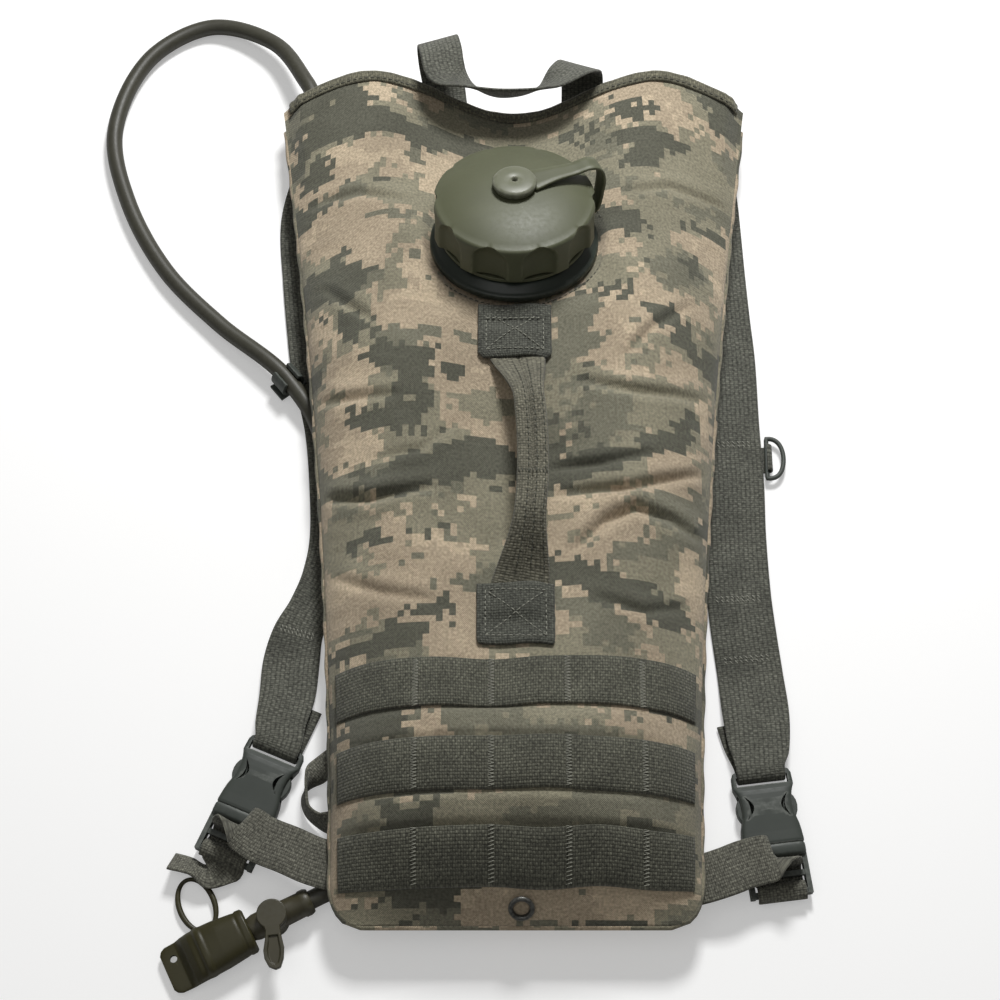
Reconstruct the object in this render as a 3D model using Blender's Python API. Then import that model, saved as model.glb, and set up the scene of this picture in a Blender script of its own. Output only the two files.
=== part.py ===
"""Hydration pack lying on its back: cloth carrier, film reservoir, screw cap, drink hose with bite valve, strap buckles.

Metres, +Z up out of the pack's front, +Y to the pack's top, +X to the right as seen from the front.
The origin is the middle of the flat underside of the back panel.
"""

import math

import bmesh
import bpy
from mathutils import Matrix, Vector
from mathutils.bvhtree import BVHTree

# Carrier: outline and heights
PACK_LENGTH = 0.510
SHOULDER_WIDTH = 0.272
BOTTOM_WIDTH = 0.184
CORNER_DROP = 0.026
NECKLINE_DROP = 0.030
SEAM_HEIGHT = 0.020
BELLY_RISE = 0.0405
CHEST_RISE = 0.030
MOUTH_MIDDLE = 0.006
MOUTH_CORNER = 0.0135
CLOTH = 0.0015
FOAM = 0.005
FILM = 0.001
BAG_WELD = 0.005
GAP = 0.0003
BINDING = 0.0009
# Webbing
ROW_WIDTH = 0.0265
ROW_PITCH = 0.0428
ROW_MARGIN = 0.0155
WEB = 0.0016
THIN_WEB = 0.0014
NARROW_WEB = 0.0250
STRAP_WIDTH = 0.0350
SIDE_LOOP_WIDTH = 0.013
HANDLE_WIDTH = 0.017
HANDLE_THICK = 0.0045
HANDLE_END_WIDTH = 0.030
HANDLE_END_THICK = 0.0030
HANDLE_RISE = 0.019
TAB_WIDTH = 0.040
TAB_LENGTH = 0.034
UPPER_TAB_SHARE = 0.6604
LOWER_TAB_SHARE = 0.3167
# Filler port and cap, along the port's own axis
PORT_SHARE = 0.8
PORT_TILT = math.radians(15.5)
FLANGE_RADIUS = 0.048
COLLAR_RADIUS = 0.040
NECK_RADIUS = 0.0365
NECK_WALL = 0.004
NECK_TOP = 0.0225
CAP_RADIUS = 0.0455
CAP_BOTTOM = 0.0095
CAP_SKIRT = 0.0215
CAP_DOME = 0.0075
CAP_WALL = 0.0045
SCALLOPS = 10
SCALLOP_DEPTH = 0.0036
BUTTON_RADIUS = 0.0122
TETHER_WIDTH = 0.0085
# Hose, valve and clip
HOSE = 0.0095
VALVE_TURN = math.radians(207)
VALVE_RADIUS = 0.0085
LEVER_TURN = math.radians(160)
LEVER_ARM = 0.0280
COVER_LENGTH = 0.0457
# Grommet
GROMMET_RADIUS = 0.0066
GROMMET_HOLE = 0.0040
GROMMET_RISE = 0.0075
# Buckles
BUCKLE_HALF = 0.0158
BUCKLE_THICK = 0.010
BUCKLE_LIFT = 0.0004
SOCKET_LENGTH = 0.040
LEFT_TURN = math.radians(247)
RIGHT_TURN = math.radians(277)
# D-ring
RING_LENGTH = 0.027
RING_REACH = 0.0106
RING_ROD = 0.0026
KEEPER_WIDTH = 0.016
KEEPER_THICK = 0.0009

for old in list(bpy.data.objects):
    bpy.data.objects.remove(old, do_unlink=True)

Y_BOTTOM = -PACK_LENGTH / 2
Y_PEAK = PACK_LENGTH / 2
Y_NECK = Y_PEAK - NECKLINE_DROP
NECK_SPAN = Y_NECK - Y_BOTTOM
FRONT_EDGE = SEAM_HEIGHT + GAP / 2 + CLOTH
BACK_EDGE = SEAM_HEIGHT - GAP / 2 - CLOTH
HOSE_ROOM = HOSE + 0.0025
BORE_RADIUS = NECK_RADIUS - NECK_WALL
PORT_Y = Y_BOTTOM + PORT_SHARE * NECK_SPAN
UPPER_TAB_Y = Y_BOTTOM + UPPER_TAB_SHARE * NECK_SPAN
LOWER_TAB_Y = Y_BOTTOM + LOWER_TAB_SHARE * NECK_SPAN
GROMMET_Y = Y_BOTTOM + GROMMET_RISE


def clamp(t):
    return max(0.0, min(1.0, t))


def ease(t):
    t = clamp(t)
    return t * t * (3 - 2 * t)


def hermite(points, x):
    """Smooth curve through (x, y) points."""
    n = len(points)
    x = max(points[0][0], min(points[-1][0], x))
    slopes = []
    for i in range(n):
        a = points[max(i - 1, 0)]
        b = points[min(i + 1, n - 1)]
        slopes.append((b[1] - a[1]) / (b[0] - a[0]))
    for i in range(n - 1):
        x0, y0 = points[i]
        x1, y1 = points[i + 1]
        if x <= x1:
            h = x1 - x0
            t = (x - x0) / h
            a = (1 + 2 * t) * (1 - t) ** 2
            b = t * (1 - t) ** 2
            c = t * t * (3 - 2 * t)
            d = t * t * (t - 1)
            return a * y0 + b * h * slopes[i] + c * y1 + d * h * slopes[i + 1]
    return points[-1][1]


# Form of the carrier: u runs across (-1 to 1), s runs from the hem (0) to the top edge (1)
CROWN = [
    (0.0, 0.0),
    (0.03, 0.32 * BELLY_RISE),
    (0.07, 0.66 * BELLY_RISE),
    (0.12, 0.92 * BELLY_RISE),
    (0.165, BELLY_RISE),
    (0.24, 0.5 * (BELLY_RISE + CHEST_RISE)),
    (0.36, CHEST_RISE),
    (0.55, CHEST_RISE),
    (0.69, 1.02 * CHEST_RISE),
    (0.80, 0.66 * CHEST_RISE),
    (0.89, 0.27 * CHEST_RISE),
    (1.0, 0.0),
]


def half_width(s):
    return 0.5 * (BOTTOM_WIDTH + (SHOULDER_WIDTH - BOTTOM_WIDTH) * clamp(s) ** 1.65)


def beside(hand, out, up):
    """Place on the table by the left (-1) or right (1) side: out past the edge in shoulder widths, up from the hem."""
    return hand * (half_width(up) + out * SHOULDER_WIDTH), Y_BOTTOM + up * NECK_SPAN


def neckline(u):
    """Height of the top edge above the middle of the neckline."""
    a = abs(u)
    if a < 0.6:
        return NECKLINE_DROP * math.sin(a / 0.6 * math.pi / 2) ** 2
    return NECKLINE_DROP - CORNER_DROP * ((a - 0.6) / 0.4) ** 1.6


def plan(u, s):
    return u * half_width(s), Y_BOTTOM + s * NECK_SPAN + neckline(u) * s * s


def mouth(u, s):
    """How far the two panels stand apart at the open top edge."""
    a = abs(u)
    wide = MOUTH_MIDDLE + (MOUTH_CORNER - MOUTH_MIDDLE) * ease((a - 0.45) / 0.3)
    return wide * (1 - ease((a - 0.92) / 0.08)) * ease((s - 0.8) / 0.2)


def front(u, s):
    """Outer face of the front panel."""
    swell = (1 - abs(u) ** 2.4) ** 0.625 if abs(u) < 1 else 0.0
    return FRONT_EDGE + mouth(u, s) / 2 + hermite(CROWN, s) * swell


def back(u, s):
    """Outer face of the back panel, flat in the middle."""
    across = clamp((abs(u) - 0.45) / 0.55) ** 1.6
    along = max(clamp((0.1 - s) / 0.1), clamp((s - 0.85) / 0.15)) ** 1.6
    lift = 1 - (1 - across) * (1 - along)
    return (BACK_EDGE - mouth(u, s) / 2) * lift


def foam_depth(u, s):
    room = front(u, s) - back(u, s) - 2 * CLOTH
    return max(0.0008, min(FOAM, 0.32 * room, 0.5 * (room - HOSE_ROOM - 4 * GAP)))


def foam_under(u, s):
    return front(u, s) - CLOTH - GAP - foam_depth(u, s)


def bag_low(u, s):
    return back(u, s) + CLOTH + foam_depth(u, s) + 2 * GAP


def bag_high(u, s):
    room = foam_under(u, s) - GAP - bag_low(u, s)
    return bag_low(u, s) + max(0.0036, room - HOSE_ROOM)


def find(x, y):
    """The (u, s) of a place in plan."""
    u, s = 0.0, 0.5
    for _ in range(40):
        s = clamp((y - Y_BOTTOM - neckline(u) * s * s) / NECK_SPAN)
        u = max(-1.0, min(1.0, x / half_width(s)))
    return u, s


LEFT_BUCKLE = beside(-1, 0.1014, 0.2052)
RIGHT_BUCKLE = beside(1, 0.1158, 0.1760)
RING_AT = beside(1, 0.1156, 0.5521)
CLIP_AT = beside(-1, 0.0510, 0.6500)
VALVE_AT = beside(-1, 0.1068, 0.0146)


# Materials and mesh helpers
def material(name, colour, rough, metal=0.0):
    m = bpy.data.materials.new(name)
    m.use_nodes = True
    shader = m.node_tree.nodes["Principled BSDF"]
    shader.inputs["Base Color"].default_value = (*colour, 1.0)
    shader.inputs["Roughness"].default_value = rough
    shader.inputs["Metallic"].default_value = metal
    return m


CLOTH_LOOK = ((0.30, 0.29, 0.23), 0.9)
WEB_LOOK = ((0.13, 0.14, 0.11), 0.85)
CAP_LOOK = ((0.085, 0.10, 0.055), 0.5)
BUCKLE_LOOK = ((0.045, 0.055, 0.047), 0.45)
RUBBER_LOOK = ((0.055, 0.052, 0.032), 0.55)


def place(name, verts, faces, look, matrix=None):
    """Make one named object from vertices and faces, with its faces turned outward."""
    mesh = bpy.data.meshes.new(name)
    mesh.from_pydata([tuple(v) for v in verts], [], faces)
    bm = bmesh.new()
    bm.from_mesh(mesh)
    bmesh.ops.recalc_face_normals(bm, faces=bm.faces)
    if bm.calc_volume(signed=True) < 0:
        bmesh.ops.reverse_faces(bm, faces=bm.faces)
    bm.to_mesh(mesh)
    bm.free()
    obj = bpy.data.objects.new(name, mesh)
    mesh.materials.append(material(name + "_look", *look))
    bpy.context.scene.collection.objects.link(obj)
    if matrix is not None:
        obj.matrix_world = matrix
    return obj


def joined(obj, others, operation):
    """Cut other shapes from an object, or weld them to it, and drop them."""
    for other in others:
        bpy.context.view_layer.update()
        mod = obj.modifiers.new("Boolean", "BOOLEAN")
        mod.operation = operation
        mod.solver = "EXACT"
        mod.object = other
        graph = bpy.context.evaluated_depsgraph_get()
        made = bpy.data.meshes.new_from_object(obj.evaluated_get(graph))
        obj.modifiers.clear()
        obj.data = made
        bpy.data.objects.remove(other, do_unlink=True)
    while len(obj.data.materials) > 1:
        obj.data.materials.pop()
    return obj


def grid_layer(name, us, ss, high, low, look, narrow=lambda s: 1.0):
    """A sheet with thickness over the carrier's (u, s) lines; narrow draws its sides in along s."""
    verts, faces = [], []
    nu, ns = len(us), len(ss)
    for surface in (high, low):
        for s in ss:
            for u in us:
                x, y = plan(u * narrow(s), s)
                verts.append((x, y, surface(u * narrow(s), s)))
    half = nu * ns
    for j in range(ns - 1):
        for i in range(nu - 1):
            a = j * nu + i
            quad = (a, a + 1, a + 1 + nu, a + nu)
            faces.append((quad[0], quad[1], quad[2]))
            faces.append((quad[0], quad[2], quad[3]))
            faces.append((quad[2] + half, quad[1] + half, quad[0] + half))
            faces.append((quad[3] + half, quad[2] + half, quad[0] + half))
    rim = [i for i in range(nu)]
    rim += [j * nu + nu - 1 for j in range(1, ns)]
    rim += [(ns - 1) * nu + i for i in range(nu - 2, -1, -1)]
    rim += [j * nu for j in range(ns - 2, 0, -1)]
    for k in range(len(rim)):
        a, b = rim[k], rim[(k + 1) % len(rim)]
        faces.append((a, a + half, b + half, b))
    return place(name, verts, faces, look)


def ribbon(name, path, sides, widths, thick, look):
    """Webbing along a path; sides gives the direction of its width at each point.

    Both faces are split along the same diagonals, so that a twisted stretch keeps its thickness.
    """
    path = [Vector(p) for p in path]
    n = len(path)
    if not isinstance(widths, (list, tuple)):
        widths = [widths] * n
    if not isinstance(thick, (list, tuple)):
        thick = [thick] * n
    verts, faces = [], []
    for i, p in enumerate(path):
        along = (path[min(i + 1, n - 1)] - path[max(i - 1, 0)]).normalized()
        side = Vector(sides[i]).normalized()
        up = along.cross(side).normalized()
        w = side * (widths[i] / 2)
        t = up * (thick[i] / 2)
        verts += [p - w - t, p + w - t, p + w + t, p - w + t]
    for i in range(n - 1):
        a = 4 * i
        for k in range(4):
            m = (k + 1) % 4
            quad = (a + k, a + m, a + 4 + m, a + 4 + k)
            if k > 1:
                quad = quad[1:] + quad[:1]
            faces.append(quad[:3])
            faces.append((quad[0], quad[2], quad[3]))
    faces.append((0, 1, 2, 3))
    faces.append((4 * n - 4, 4 * n - 3, 4 * n - 2, 4 * n - 1))
    return place(name, verts, faces, look)


def smooth_path(points, count, carried=None):
    """Even points on a smooth curve through hand-placed ones; carried vectors are spread the same way."""
    points = [Vector(p) for p in points]
    spans = [0.0]
    for a, b in zip(points, points[1:]):
        spans.append(spans[-1] + (b - a).length)
    out = []
    values = points if carried is None else [Vector(c) for c in carried]
    for i in range(count):
        d = spans[-1] * i / (count - 1)
        out.append(Vector([hermite([(spans[k], p[c]) for k, p in enumerate(values)], d) for c in range(3)]))
    return out


def turned(name, profile, segments, look, matrix, radius=None):
    """Turn a closed (r, z) outline about the Z axis; r = 0 ends at the axis."""
    verts, faces = [], []
    rings = []
    for r, z in profile:
        if r == 0.0:
            rings.append([len(verts)])
            verts.append(Vector((0, 0, z)))
            continue
        ring = []
        for k in range(segments):
            t = 2 * math.pi * k / segments
            rr = radius(r, z, t) if radius else r
            ring.append(len(verts))
            verts.append(Vector((rr * math.cos(t), rr * math.sin(t), z)))
        rings.append(ring)
    closed = profile[0][0] != 0.0
    pairs = list(zip(rings, rings[1:]))
    if closed:
        pairs.append((rings[-1], rings[0]))
    for a, b in pairs:
        for k in range(segments):
            m = (k + 1) % segments
            if len(a) == 1:
                faces.append((a[0], b[k], b[m]))
            elif len(b) == 1:
                faces.append((a[k], b[0], a[m]))
            else:
                faces.append((a[k], b[k], b[m], a[m]))
    return place(name, verts, faces, look, matrix)


def prism(name, outline, z0, z1, look, matrix=None):
    """Raise a flat (x, y) outline from z0 to z1."""
    n = len(outline)
    verts = [Vector((x, y, z0)) for x, y in outline] + [Vector((x, y, z1)) for x, y in outline]
    faces = [tuple(range(n)), tuple(range(2 * n - 1, n - 1, -1))]
    for k in range(n):
        m = (k + 1) % n
        faces.append((k, m, n + m, n + k))
    return place(name, verts, faces, look, matrix)


def block(x0, x1, y0, y1, z0, z1, matrix=None, name="cutter"):
    return prism(name, [(x0, y0), (x1, y0), (x1, y1), (x0, y1)], z0, z1, BUCKLE_LOOK, matrix)


def rounded(x0, x1, y0, y1, r, steps=3):
    """Outline of a rectangle with round corners."""
    out = []
    for cx, cy, start in ((x1 - r, y0 + r, -90), (x1 - r, y1 - r, 0), (x0 + r, y1 - r, 90), (x0 + r, y0 + r, 180)):
        for k in range(steps + 1):
            t = math.radians(start + 90 * k / steps)
            out.append((cx + r * math.cos(t), cy + r * math.sin(t)))
    return out


def tube(name, path, diameter, look, resolution=2):
    """A round cord along a path, as a filled curve."""
    curve = bpy.data.curves.new(name, "CURVE")
    curve.dimensions = "3D"
    curve.bevel_depth = diameter / 2
    curve.bevel_resolution = resolution
    curve.use_fill_caps = True
    spline = curve.splines.new("POLY")
    spline.points.add(len(path) - 1)
    for point, p in zip(spline.points, path):
        point.co = (*p, 1.0)
    obj = bpy.data.objects.new(name, curve)
    curve.materials.append(material(name + "_look", *look))
    bpy.context.scene.collection.objects.link(obj)
    return obj


# Carrier: two cloth panels, their foam, and the tape round each top edge
U_LINES = [-1, -0.957, -0.89, -0.79, -0.66, -0.5, -0.3, -0.1, 0.1, 0.3, 0.5, 0.66, 0.79, 0.89, 0.957, 1]
ROW_EDGES = []
for row in range(3):
    low_edge = (ROW_MARGIN + row * ROW_PITCH) / NECK_SPAN
    ROW_EDGES.append((low_edge, low_edge + ROW_WIDTH / NECK_SPAN))
S_LINES = [0.0]
for low_edge, high_edge in ROW_EDGES:
    S_LINES += [low_edge, high_edge]
start = S_LINES[-1]
S_LINES += [start + (0.89 - start) * k / 7 for k in range(1, 8)]
S_LINES += [0.94, 0.975, 1.0]

panel = grid_layer("front_panel", U_LINES, S_LINES, front, lambda u, s: front(u, s) - CLOTH, CLOTH_LOOK)
front_foam = grid_layer(
    "front_insulation",
    U_LINES[1:-1],
    S_LINES[1:-3],
    lambda u, s: front(u, s) - CLOTH - GAP,
    foam_under,
    ((0.5, 0.5, 0.47), 0.9),
)
back_panel = grid_layer("back_panel", U_LINES, S_LINES, lambda u, s: back(u, s) + CLOTH, back, CLOTH_LOOK)
grid_layer(
    "back_insulation",
    U_LINES[1:-1],
    S_LINES[1:-3],
    lambda u, s: back(u, s) + CLOTH + GAP + foam_depth(u, s),
    lambda u, s: back(u, s) + CLOTH + GAP,
    ((0.5, 0.5, 0.47), 0.9),
)


bpy.context.view_layer.update()
back_tree = BVHTree.FromObject(back_panel, bpy.context.evaluated_depsgraph_get())


def seat_under(x, y, side, width):
    """Height for the middle of webbing sewn under the back panel, clear of it over its whole width."""
    side = Vector(side).normalized()
    best = None
    for k in range(-4, 5):
        p = Vector((x, y, 0)) + side * (width * k / 8)
        hit = back_tree.ray_cast(Vector((p.x, p.y, -0.5)), Vector((0, 0, 1)))[0]
        if hit is not None and (best is None or hit.z - p.z < best):
            best = hit.z - p.z
    return best - 2 * GAP - WEB / 2


def binding(name, high, low):
    """Tape folded over a panel's top edge."""
    us = U_LINES[1:-1]
    lift = GAP + BINDING
    verts, faces = [], []
    for u in us:
        x0, y0 = plan(u, S_LINES[-2])
        x1, y1 = plan(u, 1.0)
        h0, h1 = high(u, S_LINES[-2]), high(u, 1.0)
        l0, l1 = low(u, S_LINES[-2]), low(u, 1.0)
        verts += [(x0, y0, h0 + lift), (x1, y1, h1 + lift), (x1, y1 + lift, h1 + lift)]
        verts += [(x1, y1 + lift, l1 - lift), (x1, y1, l1 - lift), (x0, y0, l0 - lift)]
        verts += [(x0, y0, l0 - GAP), (x1, y1, l1 - GAP), (x1, y1 + GAP, l1 - GAP)]
        verts += [(x1, y1 + GAP, h1 + GAP), (x1, y1, h1 + GAP), (x0, y0, h0 + GAP)]
    n = 12
    for i in range(len(us) - 1):
        for k in range(n):
            m = (k + 1) % n
            a, b, c, d = i * n + k, i * n + m, (i + 1) * n + m, (i + 1) * n + k
            faces += [(a, b, d), (b, c, d)] if k in (4, 10) else [(a, b, c), (a, c, d)]
    for e in (0, (len(us) - 1) * n):
        for k in range(5):
            faces.append((e + k, e + k + 1, e + 10 - k, e + 11 - k))
    return place(name, verts, faces, ((0.11, 0.12, 0.085), 0.85))


binding("front_binding", front, lambda u, s: front(u, s) - CLOTH)
binding("back_binding", lambda u, s: back(u, s) + CLOTH, back)

# Reservoir: a film bag, open only at the filler neck
BAG_U = U_LINES[3:-3]
BAG_S = S_LINES[2:-2]


def port_frame():
    s = (PORT_Y - Y_BOTTOM) / NECK_SPAN
    return Matrix.Translation((0, PORT_Y, front(0, s))) @ Matrix.Rotation(-PORT_TILT, 4, "X")


PORT = port_frame()


def port_plug(radius, low, high, segments=40):
    profile = [(0.0, low), (radius, low), (radius, high), (0.0, high)]
    return turned("cutter", profile, segments, CAP_LOOK, PORT)


def bag_shoulder(s):
    """The bag draws in towards its top, past the filler neck."""
    return 1 - 0.36 * ease((s - 0.70) / 0.20)


def inset(lines, edge):
    return [lines[0] + edge] + lines[1:-1] + [lines[-1] - edge]


def film_bag(name):
    """Outer and inner skins of the bag, welded along a flat edge; the filler hole joins them."""
    outer = grid_layer(name, BAG_U, BAG_S, bag_high, bag_low, ((0.42, 0.45, 0.46), 0.35), bag_shoulder)
    inner = grid_layer(
        "cutter",
        inset(BAG_U, BAG_WELD / half_width(0.5)),
        inset(BAG_S, BAG_WELD / NECK_SPAN),
        lambda u, s: bag_high(u, s) - FILM,
        lambda u, s: bag_low(u, s) + FILM,
        CAP_LOOK,
        bag_shoulder,
    )
    joined(outer, [inner], "DIFFERENCE")
    return outer


depth_at_port = CLOTH + FOAM + 2 * GAP + HOSE_ROOM
COLLAR_LOW = -(depth_at_port + 0.0018)
bag = film_bag("reservoir")
joined(bag, [port_plug(COLLAR_RADIUS + 2 * GAP, COLLAR_LOW - 0.001, 0.03)], "DIFFERENCE")
joined(panel, [port_plug(FLANGE_RADIUS + 0.0008, -0.03, 0.03)], "DIFFERENCE")
joined(front_foam, [port_plug(FLANGE_RADIUS + 0.0008, -0.03, 0.03)], "DIFFERENCE")

# Filler port: collar, flange and neck with its thread
thread_low = CAP_BOTTOM + 0.0055
turned(
    "filler_port",
    [
        (BORE_RADIUS, COLLAR_LOW),
        (COLLAR_RADIUS, COLLAR_LOW),
        (COLLAR_RADIUS, -0.0045),
        (FLANGE_RADIUS, -0.0035),
        (FLANGE_RADIUS, 0.0018),
        (COLLAR_RADIUS + 0.001, 0.0042),
        (NECK_RADIUS, 0.0048),
        (NECK_RADIUS, thread_low),
        (NECK_RADIUS + 0.0016, thread_low + 0.0012),
        (NECK_RADIUS + 0.0016, thread_low + 0.0022),
        (NECK_RADIUS, thread_low + 0.0034),
        (NECK_RADIUS, NECK_TOP),
        (BORE_RADIUS, NECK_TOP),
    ],
    32,
    CAP_LOOK,
    PORT,
)

# Cap: scalloped skirt and domed top; it turns on the tether's button
cap_rim = CAP_BOTTOM + CAP_SKIRT
cap_inner = NECK_RADIUS + 0.0032
cap_roof = cap_rim - CAP_WALL


def scallop(r, z, t):
    """Flutes cut straight down the cap's side, each two thirds as wide as their spacing."""
    if r < cap_inner + 0.0005:
        return r
    turn = t * SCALLOPS / (2 * math.pi)
    across = 3 * abs(turn - round(turn))
    return r if across >= 1 else min(r, CAP_RADIUS - SCALLOP_DEPTH * math.sqrt(1 - across ** 2))


turned(
    "filler_cap",
    [
        (0.0, cap_roof),
        (cap_inner, cap_roof),
        (cap_inner, CAP_BOTTOM),
        (CAP_RADIUS, CAP_BOTTOM),
        (CAP_RADIUS, cap_rim - 0.003),
        (0.955 * CAP_RADIUS, cap_rim),
        (0.72 * CAP_RADIUS, cap_rim + 0.55 * CAP_DOME),
        (0.36 * CAP_RADIUS, cap_rim + CAP_DOME),
        (0.0, cap_rim + CAP_DOME),
    ],
    6 * SCALLOPS,
    CAP_LOOK,
    PORT,
    scallop,
)
turned(
    "cap_seal",
    [
        (BORE_RADIUS - 0.001, NECK_TOP + GAP),
        (NECK_RADIUS + 0.001, NECK_TOP + GAP),
        (NECK_RADIUS + 0.001, cap_roof - GAP),
        (BORE_RADIUS - 0.001, cap_roof - GAP),
    ],
    24,
    ((0.02, 0.02, 0.02), 0.6),
    PORT,
)

# Tether: eye under the button, strap over the rim, loose ring round the neck
cap_top = cap_rim + CAP_DOME
eye_low = cap_top + GAP
eye_high = eye_low + 0.0016
ring_low = 0.0056
ring_high = 0.0078
ring_out = NECK_RADIUS + 0.0052
TETHER_TURN = math.radians(22)
tether = turned(
    "cap_tether",
    [(0.0055, eye_low), (BUTTON_RADIUS - 0.001, eye_low), (BUTTON_RADIUS - 0.001, eye_high), (0.0055, eye_high)],
    24,
    CAP_LOOK,
    PORT,
)
t_path = [
    (BUTTON_RADIUS - 0.0025, 0, eye_low + 0.0008),
    (0.52 * CAP_RADIUS, 0, eye_low + 0.0013),
    (0.78 * CAP_RADIUS, 0, cap_rim + 0.0088),
    (0.97 * CAP_RADIUS, 0, cap_rim + 0.0098),
    (CAP_RADIUS + 0.0042, 0, cap_rim + 0.0072),
    (CAP_RADIUS + 0.0066, 0, cap_rim),
    (CAP_RADIUS + 0.0062, 0, cap_rim - 0.009),
    (CAP_RADIUS + 0.0036, 0, CAP_BOTTOM - 0.0003),
    (CAP_RADIUS - 0.001, 0, ring_high - 0.0011),
    (ring_out - 0.001, 0, ring_high - 0.0011),
]
strap = ribbon("cutter", t_path, [(0, 1, 0)] * len(t_path), TETHER_WIDTH, 0.0016, CAP_LOOK)
strap.matrix_world = PORT @ Matrix.Rotation(TETHER_TURN, 4, "Z")
neck_ring = turned(
    "cutter",
    [
        (NECK_RADIUS + 0.0021, ring_low),
        (ring_out, ring_low),
        (ring_out, ring_high),
        (NECK_RADIUS + 0.0021, ring_high),
    ],
    32,
    CAP_LOOK,
    PORT,
)
joined(tether, [strap, neck_ring], "UNION")
turned(
    "tether_button",
    [
        (0.0016, eye_high + GAP - 0.0016),
        (0.0052, eye_high + GAP - 0.0016),
        (0.0052, eye_high + GAP),
        (BUTTON_RADIUS, eye_high + GAP),
        (BUTTON_RADIUS, eye_high + 0.0022),
        (BUTTON_RADIUS - 0.0012, eye_high + 0.0032),
        (0.0016, eye_high + 0.0036),
    ],
    24,
    CAP_LOOK,
    PORT,
)

# Webbing rows across the lower front, sewn down at the sides and at each bartack
for name, (low_edge, high_edge) in zip(("row_lower", "row_middle", "row_upper"), ROW_EDGES):
    grid_layer(
        name,
        U_LINES[1:-1],
        [low_edge, high_edge],
        lambda u, s: front(u, s) + GAP + WEB,
        lambda u, s: front(u, s) + GAP,
        WEB_LOOK,
    )

# Carry handle: two square tabs sewn to the front, and the folded grip between them
bpy.context.view_layer.update()
cloth_tree = BVHTree.FromObject(panel, bpy.context.evaluated_depsgraph_get())


def on_cloth(x, y):
    hit = cloth_tree.ray_cast(Vector((x, y, 0.5)), Vector((0, 0, -1)))[0]
    return hit.z


def tab(name, y_mid):
    cells = 5
    verts, faces = [], []
    n = cells + 1
    for lift in (GAP * 2 + WEB, GAP * 2):
        for j in range(n):
            for i in range(n):
                x = TAB_WIDTH * (i / cells - 0.5)
                y = y_mid + TAB_LENGTH * (j / cells - 0.5)
                verts.append((x, y, on_cloth(x, y) + lift))
    half = n * n
    for j in range(cells):
        for i in range(cells):
            a = j * n + i
            faces.append((a, a + 1, a + 1 + n, a + n))
            faces.append((a + n + half, a + 1 + n + half, a + 1 + half, a + half))
    rim = [i for i in range(n)] + [j * n + cells for j in range(1, n)]
    rim += [cells * n + i for i in range(cells - 1, -1, -1)] + [j * n for j in range(cells - 1, 0, -1)]
    for k in range(len(rim)):
        a, b = rim[k], rim[(k + 1) % len(rim)]
        faces.append((a, a + half, b + half, b))
    return place(name, verts, faces, WEB_LOOK)


tab("handle_tab_upper", UPPER_TAB_Y)
tab("handle_tab_lower", LOWER_TAB_Y)
handle_path, handle_sides, handle_widths, handle_thick = [], [], [], []
y_high = UPPER_TAB_Y - 0.002
y_low = LOWER_TAB_Y + 0.004
steps = 14
for k in range(steps + 1):
    t = k / steps
    y = y_high + (y_low - y_high) * t
    sway = 0.0085 * math.sin(math.pi * t) ** 0.8 + 0.001 * t
    grip = ease(t / 0.28) * ease((1 - t) / 0.28)
    thick = HANDLE_END_THICK + (HANDLE_THICK - HANDLE_END_THICK) * grip
    seat = on_cloth(sway, y) + 4 * GAP + WEB + thick / 2
    arch = HANDLE_RISE * ease(t / 0.3) * ease((1 - t) / 0.3)
    handle_path.append((sway, y, seat + arch))
    handle_sides.append((1, 0, 0))
    handle_widths.append(HANDLE_END_WIDTH + (HANDLE_WIDTH - HANDLE_END_WIDTH) * grip)
    handle_thick.append(thick)
ribbon("carry_handle", handle_path, handle_sides, handle_widths, handle_thick, WEB_LOOK)

# Drain grommet through the front cloth near the hem
gx, gs = 0.0025, (GROMMET_Y - Y_BOTTOM) / NECK_SPAN
slope = math.atan2(front(0, gs + 0.012) - front(0, gs), 0.012 * NECK_SPAN)
GROMMET = Matrix.Translation((gx, GROMMET_Y, on_cloth(gx, GROMMET_Y))) @ Matrix.Rotation(slope, 4, "X")
hole = turned("cutter", [(0.0, -0.01), (0.0056, -0.01), (0.0056, 0.02), (0.0, 0.02)], 24, CAP_LOOK, GROMMET)
joined(panel, [hole], "DIFFERENCE")
turned(
    "grommet",
    [
        (GROMMET_HOLE, -0.0048),
        (0.0051, -0.0048),
        (0.0051, 0.0012),
        (GROMMET_RADIUS, 0.0012),
        (GROMMET_RADIUS, 0.0018),
        (0.0052, 0.0027),
        (GROMMET_HOLE, 0.0018),
    ],
    20,
    ((0.02, 0.022, 0.018), 0.4, 0.8),
    GROMMET,
)
turned(
    "grommet_washer",
    [(0.0054, -0.0046), (GROMMET_RADIUS, -0.0046), (GROMMET_RADIUS, -0.0038), (0.0054, -0.0038)],
    20,
    ((0.02, 0.022, 0.018), 0.4, 0.8),
    GROMMET,
)

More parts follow.
